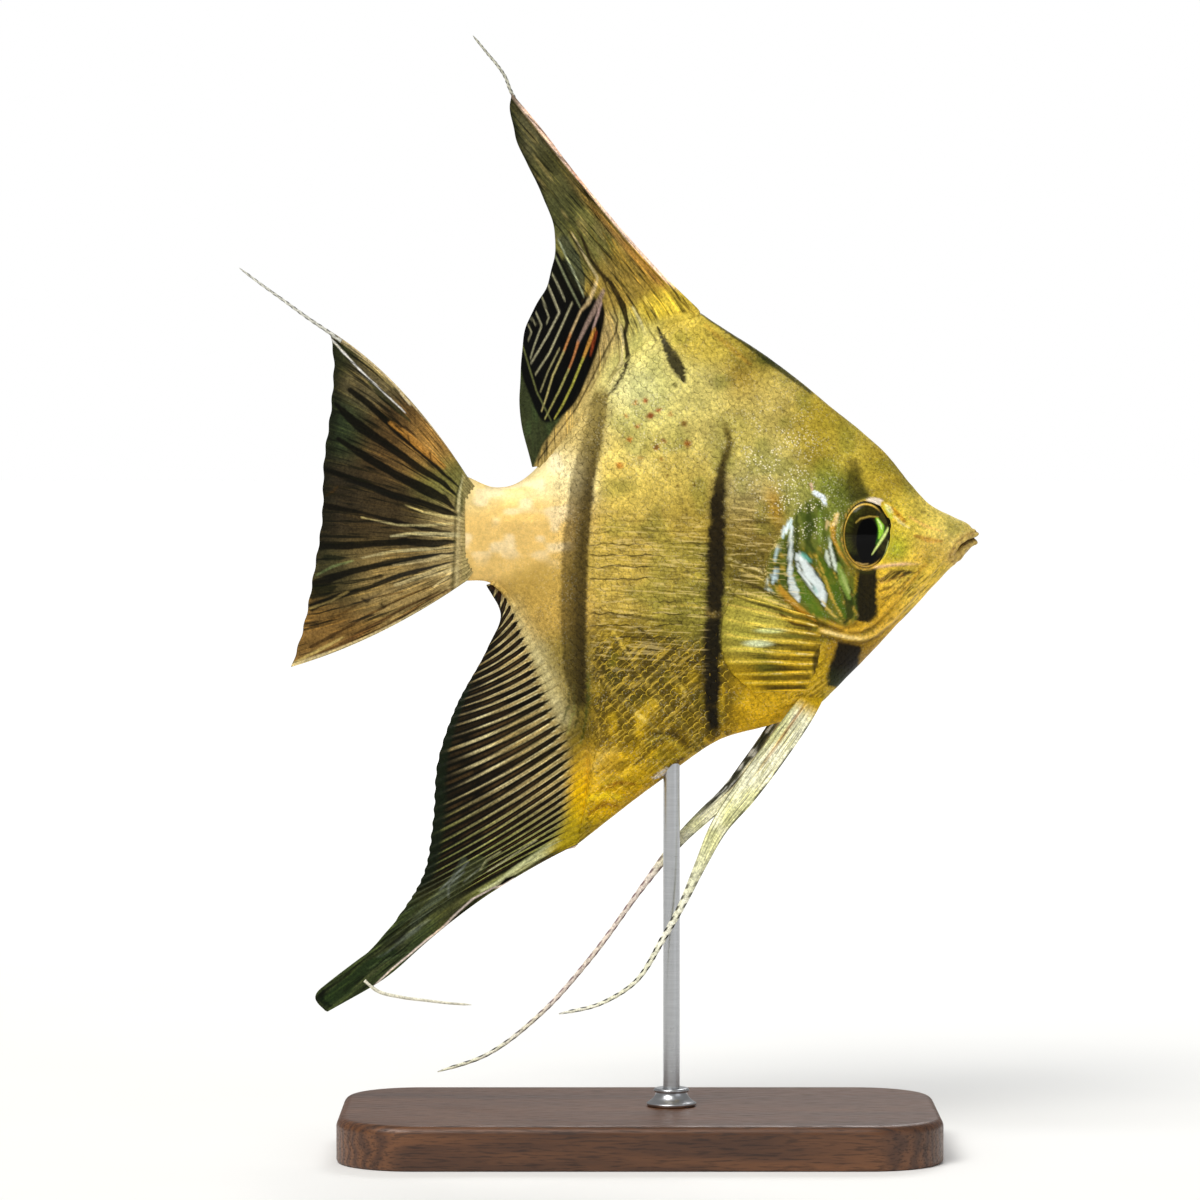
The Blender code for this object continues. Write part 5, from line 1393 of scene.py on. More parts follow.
tailStrokes = [
    ("0b0a05", 0.95, [(-20.9, 24.9, 0.3), (-17.4, 22.3, 0.42), (-12.2, 17.1, 0.34), (-7.5, 13.2, 0.3),
                      (-4, 9.8, 0.2), (-1, 7.2, 0.1)]),
    ("0b0a05", 0.95, [(-23.5, 22.5, 0.2), (-21.3, 20.2, 0.5), (-18.7, 18, 0.62), (-13.5, 14.5, 0.5),
                      (-7.5, 10.2, 0.4), (-4, 8.1, 0.3), (-1.9, 6.1, 0.12)]),
    ("0b0a05", 0.95, [(-23, 16.1, 0.25), (-17.9, 12.8, 0.5), (-12.2, 9.4, 0.48), (-6.6, 6.6, 0.62),
                      (-4, 5.3, 0.5), (-2.1, 3.5, 0.12)]),
    ("0b0a05", 0.95, [(-25.2, 10.6, 0.3), (-19.6, 8.5, 0.42), (-13.1, 5.9, 0.46), (-7.5, 4.4, 0.4),
                      (-4, 3.1, 0.46), (-0.4, 1.8, 0.12)]),
    ("0f0c06", 0.9, [(-25.2, 4.1, 0.4), (-21.3, 3.3, 0.3), (-18.7, 2.8, 0.16), (-12.2, 1.1, 0.26),
                     (-7.5, -0.1, 0.3), (-2.7, -0.7, 0.12)]),
    ("0b0a05", 0.95, [(-26.2, -3, 0.5), (-21.3, -3.1, 0.5), (-16.1, -2.7, 0.4), (-10.9, -2.4, 0.44),
                      (-5.8, -2.8, 0.5), (-2.1, -2.4, 0.2)]),
    ("0b0a05", 0.95, [(-26.9, -10.1, 0.7), (-23.9, -8.8, 0.5), (-20.4, -7.7, 0.4), (-14.4, -6.3, 0.36),
                      (-7.5, -5.2, 0.34), (-2.1, -4.4, 0.1)]),
    ("0b0a05", 0.95, [(-27.8, -14.2, 0.5), (-23, -12.2, 0.34), (-17.4, -10.6, 0.26), (-11.8, -8.4, 0.34),
                      (-7.5, -7.3, 0.2), (-2.1, -5.9, 0.08)]),
    ("101206", 0.85, [(-27.6, -11.4, 0.9), (-25.2, -11.2, 0.7), (-23.5, -10.5, 0.2)]),
    ("15190c", 0.8, [(-25.2, -5.3, 0.4), (-23, -5.4, 0.3), (-21.7, -5.3, 0.1)]),
    ("3a2a12", 0.85, [(-23, 7.6, 0.08), (-23.9, 6.6, 0.14), (-25.2, 5.9, 0.08)]),
    ("4a3415", 0.75, [(-29.1, -18.3, 0.12), (-23.9, -16.3, 0.12), (-17.9, -12.7, 0.12), (-11.4, -11.4, 0.1)]),
    ("3f2b12", 0.85, [(-28, -21.4, 0.16), (-23, -18.7, 0.2), (-17.4, -15.5, 0.16), (-10.9, -12.2, 0.12),
                      (-4, -9.6, 0.08)]),
    ("4e3519", 0.8, [(-29.1, -23.7, 0.2), (-23, -21.3, 0.26), (-17.4, -17.9, 0.3), (-11.4, -14.4, 0.16),
                     (-4.9, -11.4, 0.1)]),
    ("5a4020", 0.75, [(-15.3, -18.3, 0.2), (-11.4, -15.9, 0.26), (-7.5, -13.1, 0.16), (-1.9, -10.5, 0.1)]),
    ("5e5034", 0.6, [(-18.7, -13.1, 0.1), (-13.5, -10.9, 0.14), (-7.5, -9, 0.1)]),
    ("241a0a", 0.85, [(-18.7, -12.7, 0.1), (-17.9, -13.2, 0.2), (-17.2, -12.9, 0.08)]),
    ("241a0a", 0.85, [(-15.3, -13.5, 0.08), (-14.9, -14.2, 0.14), (-14.4, -14, 0.08)]),
    ("241a0a", 0.85, [(-17, -9, 0.08), (-15.3, -8.6, 0.26)]),
    ("c9b878", 0.8, [(-10.9, 4.2, 0.06), (-7.5, 2.9, 0.12), (-4, 2.2, 0.16), (-0.1, 1.7, 0.2)]),
    ("b8ab76", 0.75, [(-18.7, 2, 0.06), (-12.2, 0.6, 0.1), (-7.5, 0.5, 0.14), (-2.3, 0.9, 0.14)]),
    ("b4aa7c", 0.75, [(-13.5, -1.4, 0.14), (-9.2, -0.9, 0.2), (-5.8, -1.1, 0.26), (-1.4, -1.2, 0.3)]),
    ("b9ab78", 0.7, [(-18.7, -5.3, 0.1), (-13.1, -4.1, 0.2), (-7.9, -3.8, 0.16), (-1.9, -3.4, 0.1)]),
    ("b8a674", 0.75, [(-13.1, -6.6, 0.1), (-7.5, -5.8, 0.22), (-4, -5.1, 0.3), (-1.9, -5.1, 0.26)]),
    ("bfae7a", 0.7, [(-12.7, -10.1, 0.2), (-7.5, -8.4, 0.4), (-3.2, -7.1, 0.5), (-1.9, -7.5, 0.4)]),
    ("d2bd84", 0.7, [(-5.8, -10.5, 0.12), (-3.6, -9, 0.2), (-2.6, -7.5, 0.16)]),
    ("b8a15c", 0.7, [(-30.8, -24.1, 0.14), (-25.2, -21.3, 0.2), (-22.2, -19.6, 0.1)]),
    ("8f7c48", 0.6, [(-28.2, -14.4, 0.12), (-24.3, -13.1, 0.14), (-21.3, -11.4, 0.1)]),
    ("6c7a4a", 0.6, [(-26.9, -8.4, 0.1), (-23.9, -6.8, 0.14), (-20.4, -5.8, 0.1)]),
    ("e8e6e0", 0.9, [(-28, 37.4, 0.14), (-23.5, 33.3, 0.12), (-19.2, 28.6, 0.09), (-14.4, 24, 0.1),
                     (-10.9, 20.8, 0.04)]),
    ("d9d8d4", 0.8, [(-26.5, 36.4, 0.1), (-23.5, 35.7, 0.16), (-21.3, 34.2, 0.12), (-18.7, 31.4, 0.1)]),
    ("2a2c18", 0.8, [(-17.4, 26.4, 0.2), (-15.3, 24, 0.36), (-12.7, 21.7, 0.3), (-10.1, 19.3, 0.12)]),
    ("3c3a20", 0.6, [(-21.3, 32.7, 0.1), (-17.4, 29.4, 0.24), (-14.4, 26.6, 0.2), (-12.2, 24.5, 0.1)]),
    ("9c8a56", 0.6, [(-19.2, 30.5, 0.1), (-16.1, 28.2, 0.2), (-13.1, 25.3, 0.1)]),
    ("dccba0", 0.7, [(-18.7, 31.6, 0.12), (-17.4, 30.3, 0.2), (-15.7, 29, 0.14)]),
    ("dccba0", 0.7, [(-12.7, 25.9, 0.1), (-11.4, 24, 0.16), (-10.1, 22.3, 0.1)]),
    ("b07c34", 0.6, [(-13.5, 18.9, 0.3), (-10.1, 16.3, 0.4), (-7.5, 13.9, 0.4), (-4, 11.1, 0.3)]),
    ("2a1a0a", 0.85, [(-12.7, 18.4, 0.08), (-10.9, 18.2, 0.12), (-9.2, 16.7, 0.1)]),
    ("2a1a0a", 0.85, [(-10.5, 16.7, 0.1), (-10.2, 15.4, 0.08)]),
    ("2a1a0a", 0.85, [(-6.5, 13.5, 0.1), (-6.3, 12.4, 0.08)]),
    ("2b3714", 0.8, [(0.4, 9.8, 0.2), (-0.1, 7.2, 0.3), (-0.6, 3.7, 0.34), (-1.4, 2.4, 0.2)]),
    ("c8c08c", 0.8, [(-0.5, 9.4, 0.12), (-1.2, 6.3, 0.16), (-1.4, 3.3, 0.12)]),
    ("2f3314", 0.85, [(-0.9, 8.9, 0.1), (-1.7, 5.9, 0.14), (-1.9, 3.3, 0.12)]),
]


def tailTone(x, z, u, v):
    # Brown-gold grains between tapering black streaks that draw together at the stalk, paler along both
    # edges.
    tone = blendedTones(x, z, tailPlaces)
    tone *= (0.75 + 0.5 * cloudy(x, z, 1.6, 101))[:, None]
    tone = over(tone, "14160c", 0.75 * smooth(0.88, 1, v) * smooth(0.75, 0.5, u))
    tone = brushed(tone, x, z, tailStrokes, 0.12, 1.45)
    tone = over(tone, "d2bd8e", 0.75 * smooth(0.022, 0.008, u) * smooth(0.1, 0.3, v))
    tone = over(tone, "d8c690", 0.8 * smooth(0.982, 0.994, u) * smooth(0.1, 0.3, v))
    tone = over(tone, "9a8c58", 0.7 * smooth(0.05, 0.02, v))
    tone = over(tone, "4c4620", 0.6 * bell((u * 30 + 0.5) % 1 - 0.5, 0.14) * smooth(0.1, 0.04, v))
    tone = over(tone, "3a3616", 0.7 * bell(v - 0.085, 0.01) * smooth(0.3, 0.5, u))
    tone = over(tone, "b4a676", 0.6 * bell(v - 0.06, 0.012) * smooth(0.2, 0.4, u))
    return withStreaks(tone, 0.12, smooth(0.05, 0.15, v))


def tailFlow(x, z, u):
    # Beside its rays.
    return fins["streaks"] * tail["rays"] * u


def tailShape():
    # A fan from the stalk's upright end; the top rays bow up and the lowest ones down.
    def root(u):
        return np.stack([np.full(len(u), tail["rootAt"]), tail["rootHeight"] * (0.5 - u)], axis=1)

    def edge(u):
        return stroke(tail["edge"], u)

    def bow(u):
        return (1 - u)[:, None] * np.array(tail["topBow"]) + u[:, None] * np.array(tail["footBow"])

    def inward(u):
        return np.stack([np.ones(len(u)), -2.6 * (0.5 - u)], axis=1)

    return finShape(tail, root, edge, bow, inward, np.asarray, tailTone, tailFlow)


pectoral = {
    "root": [(62.4, -15.6), (63.4, -19), (63, -24), (61.2, -29)],
    "edge": [(48.4, -11.6), (46.4, -14.6), (45.6, -20), (46.8, -24.6), (51.5, -29.4)],
    "clear": 0.3,  # how far it lies off the flank at its root
    "spread": 0.35,  # and how much further at its edge
    "rays": 8, "rows": 70, "columns": 160, "wave": 0.12, "swell": 0.3,
}


def pectoralTone(x, z, u, v):
    # Clear web with the flank's olive showing through, darkened between the rays by painted shade, and
    # bright golden rays that fade into the flank; painted highlights lie beside the rays and across the web.
    tone = bodyTone(x, z)[:, :3]
    rays = pectoral["rays"]
    inner = smooth(1, 0.6, v)
    fromRay = np.abs((u * rays + 0.5 + 0.25 * (cloudy(x * 0.3, z, 1.5, 114) - 0.5)) % 1 - 0.5)
    patchy = 0.7 + 0.3 * smooth(0.7, 0.3, cloudy(x * 0.25, u * 14, 1.4, 115))
    patchy = patchy * (0.45 + 0.55 * smooth(0.15, 0.45, u)) * (0.45 + 0.55 * inner)
    # Painted shade of the web between the rays.
    tone = over(tone, "2a2108", 0.92 * smooth(0.14, 0.32, fromRay) * smooth(0.0, 0.06, v) * patchy)
    tone = over(tone, "5c6420", 0.4 * smooth(0.5, 0.9, cloudy(x * 0.3, z, 1.6, 113)) * inner)
    tone = over(tone, "dcae26", 0.8 * bell(fromRay, 0.19) * smooth(0.62, 0.25, v))
    gold = bell(fromRay, 0.09) * (0.3 + 0.7 * cloudy(x, z, 2.6, 111))
    tone = over(tone, "f6d85c", 0.95 * gold * smooth(1, 0.9, v))
    # Painted highlights: a gleam beside each ray, then two pale streaks across the web.
    gleam = bell(fromRay - 0.03, 0.05) * smooth(0.5, 0.8, cloudy(x, z, 2, 112))
    tone = over(tone, "fff3b0", 0.6 * gleam * smooth(0.7, 0.3, v))
    tone = over(tone, "dfe8b8", 0.75 * smooth(1.3, 0.4, np.hypot((x - 52.4) / 2.8, (z + 20.4) / 0.7)))
    tone = over(tone, "cfd996", 0.7 * smooth(1.3, 0.4, np.hypot((x - 54.6) / 3, (z + 18.1) / 0.5)))
    tone = over(tone, "1c1808", 0.85 * smooth(1.2, 0.6, np.hypot((x - 63.2) / 1.2, (z + 24) / 3.4)))
    return withStreaks(tone, 0.35, 0.5 * inner)


def pectoralFlow(x, z, u):
    # Beside its rays, over the 14 mm of its edge.
    return 14 * u


def pectoralShape(side):
    # A small fan that lies along the flank.
    def aside(x, z, v):
        # The flank's own half width there, and a little more towards the fin's edge.
        flankSide = onSkin(x.ravel(), z.ravel(), 1, np.zeros(x.size))[:, 1].reshape(x.shape)
        off = pectoral["clear"] + pectoral["spread"] * np.clip(v, 0, 1) - 1.4 * smooth(0.04, -0.06, v)
        return side * (flankSide + off[:, None])

    return finShape(
        pectoral, lambda u: stroke(pectoral["root"], u), lambda u: stroke(pectoral["edge"], u), lambda u: 0.0,
        lambda u: np.array([[0.6, 0]]), np.asarray, pectoralTone, pectoralFlow, aside,
    )


pelvic = {
    # x, side, z and breadth, from inside the breast to the end of the thread.
    "right": [(64.2, -1.2, -27.6, 3.0), (60.9, -3.3, -32.4, 4.2), (55.6, -3.6, -39.9, 4.7),
              (49.9, -3.4, -47.7, 4.4), (45.5, -3.4, -53.6, 3.2), (42.1, -3.7, -60.5, 2.1),
              (39.1, -4, -67, 1.4), (35.1, -4.3, -74.2, 1.1), (30.4, -4.6, -81.4, 0.8),
              (24.1, -4.8, -85.3, 0.7), (16.7, -5, -87.1, 0.6)],
    "left": [(62.4, 1.2, -28, 3.0), (58.6, 3.3, -33.2, 4), (52.2, 3.6, -42.3, 4), (47.2, 3.4, -48.1, 3),
             (42.8, 3.4, -52.2, 2.6), (39.8, 3.7, -55.1, 2.2), (36.4, 3.9, -59, 1.7), (32, 4.2, -64.8, 1.1),
             (22.3, 4.6, -78.1, 0.9), (13.3, 5, -88.2, 0.8), (3.2, 5.2, -95.8, 0.7), (-5.4, 5.4, -98.8, 0.6)],
    "rays": 5,
    "rows": 330,
    "columns": 56,
    "thick": 0.3,
}


def pelvicShape(end):
    # A flat fan of rays that narrows into a thread: an oval section carried along its line, its two faces
    # ridged by the rays where it is broad, and beaded where it is thin.
    table = np.array(pelvic[end])[:, [0, 2, 1, 3]]
    rows, columns = pelvic["rows"], pelvic["columns"]
    share = np.linspace(0, 1, rows)
    line = stroke(table, share)
    run = np.gradient(line[:, :2], axis=0)
    run /= np.linalg.norm(run, axis=1)[:, None]
    angle = np.linspace(0, 2 * np.pi, columns, endpoint=False)
    flat = smooth(1, 3, line[:, 3])[:, None]
    beads = 1 + 0.05 * np.sin(share * 300) * smooth(1.6, 1, line[:, 3])
    breadth = (line[:, 3] * beads * np.minimum(1, 0.3 + 25 * (1 - share)))[:, None]
    across = np.cos(angle)[None, :] + np.zeros((rows, 1))
    ridge = 0.5 + 0.5 * np.cos(across * np.pi * pelvic["rays"])
    thick = np.sin(angle) * (pelvic["thick"] + 0.04 * flat) * (1 - 0.45 * flat * (1 - ridge))
    thick = thick * np.minimum(1, 0.2 + 20 * (1 - share))[:, None]
    curl = 0.35 * flat * np.sin(across * 1.7 + share[:, None] * 9)
    out = across * breadth / 2
    rings = np.stack([
        line[:, :1] - run[:, 1:] * out, line[:, 2:3] + thick + curl, line[:, 1:2] + run[:, :1] * out,
    ], axis=-1)
    x, z = rings[..., 0].ravel(), rings[..., 2].ravel()
    s, a = (share[:, None] + 0 * across).ravel(), across.ravel()
    f = (flat + 0 * across).ravel()
    fibre = cloudy(a * 5 + 2, s * 26, 1, 122)
    tone = np.zeros((len(x), 3)) + linear("e2e2a8")
    tone = over(tone, "fbf8da", 0.8 * smooth(0.35, 0.75, cloudy(x, z, 4, 121)))
    tone = over(tone, "a8a874", 0.55 * f * smooth(0.5, 0.8, fibre))
    tone = over(tone, "8f8a5a", 0.5 * f * smooth(0.62, 0.9, 1 - ridge.ravel()))
    tone = over(tone, "a9763c", 0.8 * f * bell(a + 0.3 - 0.6 * s, 0.13) * smooth(0.3, 0.15, s))
    broken = smooth(0.05, 0.12, s) * smooth(0.3, 0.6, cloudy(s * 40, a, 1, 123))
    tone = over(tone, "2a2a18", 0.9 * f * smooth(0.8, 0.96, a) * broken)
    tone = over(tone, "6a6a3c", 0.8 * f * smooth(0.86, 0.98, -a))
    dashes = smooth(-0.1, 0.4, np.sin(s * 230 + 2 * a))
    tone = over(tone, "f6f4e8", 0.6 * (1 - f))
    tone = over(tone, "22211c", (1 - f) * (0.1 + 0.9 * dashes) * smooth(0.2, 0.7, np.abs(a)))
    if end == "left":
        fading = smooth(0.36, 0.28, s)
        dark = smooth(0.05, 0.1, s) * smooth(0.1, 0.45, 0.5 * (fibre - 0.5) - a)
        tone = over(tone, "14140f", 0.93 * dark * fading)
        pale = smooth(0.5, 0.8, cloudy(a * 6, s * 60, 1, 124)) * smooth(-0.2, -0.5, a)
        tone = over(tone, "f4f2ea", 0.6 * pale * fading)
        tone = over(tone, "c8a0a4", 0.4 * smooth(0.35, 0.5, s) * smooth(0.9, 0.7, s))
    hidden = smooth(0.1, 0.05, s)
    tone += hidden[:, None] * (bodyTone(x, z)[:, :3] - tone)
    marks = np.column_stack([a * 3.2, s * 90, 0.8 * f * (1 - hidden), 0 * s])
    tones = np.concatenate([withGloss(tone, 0.3), marks], axis=1).reshape(rows, columns, 8)
    return loft(rings, tones, (0, 0, 1, 1))


eye = {
    "radii": (5.0, 2.35, 6.75),
    "side": 5.35,
    "pupilAt": (71.9, -2.0),
    "pupilReach": (2.0, 4.0),
    "rows": 120,
    "columns": 128,
}

eyeStrokes = [
    # A painted reflection at the front of the eye: a lime crescent in a dark green edge, with its fine tail;
    # and pale lid lines below.
    ("2c5a14", 0.9, [(73.5, 1.8, 0.3), (74.4, 0.2, 0.7), (74.1, -1.4, 0.5), (73.5, -2.6, 0.2)]),
    ("9cd43a", 0.95, [(73.6, 1.9, 0.2), (74.3, 0.6, 0.5), (74.3, -0.6, 0.4), (73.9, -1.6, 0.12)]),
    ("e4f6a4", 0.9, [(73.7, 1.7, 0.1), (74.3, 0.7, 0.16), (74.4, 0.1, 0.1)]),
    ("dff08a", 0.98, [(75.7, 0.3, 0.14), (74.9, -1.1, 0.24), (74, -2.5, 0.2), (73.2, -3.7, 0.14),
                      (72.7, -4.5, 0.06)]),
    ("cdd884", 0.95, [(75.7, -2.2, 0.08), (75.2, -4.3, 0.14), (74.2, -6.2, 0.12)]),
    ("a88f3c", 0.9, [(69.8, 1.2, 0.08), (70.6, 1.9, 0.13), (72.2, 2.3, 0.13), (73.8, 2.2, 0.08)]),
    ("c9a862", 0.9, [(69.9, -5.9, 0.08), (71, -6.3, 0.13), (72, -6.2, 0.08)]),
    ("f2dcae", 0.97, [(68.5, -5.2, 0.1), (69.5, -6.3, 0.18), (70.8, -6.85, 0.18), (71.9, -6.8, 0.1)]),
]


def eyeShape(side):
    # A flattened egg: circles round its outward axis, at equal angles from it.
    polar = np.linspace(0.02, np.pi - 0.02, eye["rows"])[:, None]
    turn = np.linspace(0, 2 * np.pi, eye["columns"], endpoint=False)[None, :]
    a, c = np.sin(polar) * np.cos(turn), np.sin(polar) * np.sin(turn)
    x = head["eyeAt"][0] + eye["radii"][0] * a
    y = side * (eye["side"] + eye["radii"][1] * np.cos(polar)) + 0 * a
    z = head["eyeAt"][1] + eye["radii"][2] * c
    rings = np.stack([x, y, z], axis=-1)
    x, z = x.ravel(), z.ravel()
    share = eyeShare(x, z)
    angle = np.arctan2(z - head["eyeAt"][1], x - head["eyeAt"][0])
    fibre = cloudy(angle * 14, share * 2, 1, 131)
    tone = np.zeros((len(x), 3)) + linear("1a1808")
    tone = over(tone, "4a4416", 0.7 * smooth(0.5, 0.85, share) * fibre)
    tone = over(tone, "3a4a14", 0.5 * smooth(0.5, 0.9, share) * smooth(0.2, -0.6, np.cos(angle)) * fibre)
    pupil = ovalShare(x, z, eye["pupilAt"], eye["pupilReach"])
    tone = over(tone, "020201", smooth(1.06, 0.96, pupil))
    tone = over(tone, "020201", 0.9 * smooth(-3.5, -5, z))
    tone = brushed(tone, x, z, eyeStrokes)
    rim = bell(share - 0.945, 0.026) * smooth(74.6, 72.6, x)
    tone = over(tone, "e6bc52", 0.97 * rim)
    tone = over(tone, "0c0b03", 0.9 * smooth(0.985, 1.02, share))
    return loft(rings, withGloss(tone, 1.0).reshape(*rings.shape[:2], 4), (0, 0, 1, 1))


stand = {  # metres
    "corner": 0.014,  # radius of the base's corners
    "rim": 0.0016,  # radius of its top edge
    "foot": 0.0006,  # its chamfer at the floor
    "sideRings": (0.0025, 0.0045),
    "topRings": (0.0004, 0.002, 0.006, 0.0135),
    "rodEnd": 0.0004,
    "rodRows": 24,
    "rodSides": 48,
    "collarNeck": 0.62,  # share of the collar's own radius
    "collarFlare": 2.2,
    "bead": 0.0004,
    "collarSides": 64,
}


def baseShape():
    # A rounded rectangle carried up a profile of (how far in, height): a small chamfer at the floor,
    # upright sides, a quarter-round rim, and rings across the top that keep it flat.
    low, high = (np.array(corner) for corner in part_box("stand_base"))
    middle, halves = (low + high) / 2, (high - low) / 2
    quarter = np.linspace(0, np.pi / 2, 16)
    arc = np.linspace(0, np.pi / 2, 9)
    rim = stand["rim"]
    foot = stand["foot"]
    profile = [(0.004, 0), (foot, 0), (foot * 0.3, foot * 0.3), (0, foot)]
    profile += [(0, height) for height in (*stand["sideRings"], high[2] - rim - 0.0002)]
    profile += [(rim * (1 - np.cos(t)), high[2] - rim + rim * np.sin(t)) for t in arc]
    profile += [(rim + inset, high[2]) for inset in stand["topRings"]]
    rings = []
    for inset, height in profile:
        radius = max(stand["corner"] - inset, 0.0006)
        reach = halves[:2] - inset - radius
        outline = np.concatenate([
            [signX * reach[0], signY * reach[1]]
            + radius * np.stack([np.cos(quarter + turn), np.sin(quarter + turn)], axis=1)
            for signX, signY, turn in ((1, 1, 0), (-1, 1, np.pi / 2), (-1, -1, np.pi), (1, -1, 1.5 * np.pi))
        ]) + middle[:2]
        rings.append(np.column_stack([outline, np.full(len(outline), height)]))
    rings = np.array(rings)
    return loft(rings, np.ones((*rings.shape[:2], 4)), (0, 0, 1, 1))


def turned(centre, profile, sides):
    # A profile of (radius, height) turned about an upright axis.
    angle = np.linspace(0, 2 * np.pi, sides, endpoint=False)
    radius, height = np.array(profile).T
    rings = np.stack([
        centre[0] + radius[:, None] * np.cos(angle), centre[1] + radius[:, None] * np.sin(angle),
        height[:, None] + 0 * angle,
    ], axis=-1)
    return loft(rings, np.ones((*rings.shape[:2], 4)), (0, 0, 1, 1))


def rodShape():
    # A round rod whose top edge is rounded.
    low, high = (np.array(corner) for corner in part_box("stand_rod"))
    radius, end = (high[0] - low[0]) / 2, stand["rodEnd"]
    arc = np.linspace(0, np.pi / 2, 6)
    profile = [(radius * 0.5, low[2]), (radius * 0.96, low[2]), (radius, low[2] + 0.0001)]
    profile += [(radius, height) for height in np.linspace(low[2] + 0.002, high[2] - end, stand["rodRows"])]
    profile += [(radius - end + end * np.cos(t), high[2] - end + end * np.sin(t)) for t in arc[1:]]
    return turned((low + high) / 2, profile, stand["rodSides"])


def collarShape():
    # A foot that flares to the base with a small bead at its top.
    low, high = (np.array(corner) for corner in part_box("stand_collar"))
    wide, tall = (high[0] - low[0]) / 2, high[2] - low[2]
    narrow = wide * stand["collarNeck"]
    share = np.linspace(0, 1, 14)
    sweep = narrow + (wide - narrow) * (1 - share) ** stand["collarFlare"]
    profile = [(wide * 0.7, low[2] - 0.0002), (wide * 0.97, low[2] - 0.0002), (wide, low[2] + 0.0002)]
    profile += [(r, low[2] + 0.0003 + s * tall * 0.72) for r, s in zip(sweep, share)]
    bead = np.linspace(-np.pi / 2, np.pi / 2, 9)
    ball = stand["bead"]
    profile += [(narrow + 1.05 * ball * np.cos(t), low[2] + tall * 0.87 + ball * np.sin(t)) for t in bead]
    profile += [(narrow * 0.8, high[2] - 0.0001)]
    return turned((low + high) / 2, profile, stand["collarSides"])


skinLooks = {
    # Sizes of the patterns, in millimetres.
    "grain": 0.6,
    "patches": 3,
    "pores": 0.8,
    "sparkleSize": 0.45,
    "rowGap": 2.1,
    "hairs": 0.46,
    "poreColour": "4a3d10",
    "sparkleColour": "fbf3cf",
    "lineColour": "2c230a",
    "hairShadow": "3a2a0c",
    # Lean in radians and colour of the hairs on the jaw and net, and on the flank.
    "hairsOnJaw": (-0.72, "ecc64c"),
    "hairsOnFlank": (0.06, "f0d488"),
    "hairLength": 11,  # times their breadth
}


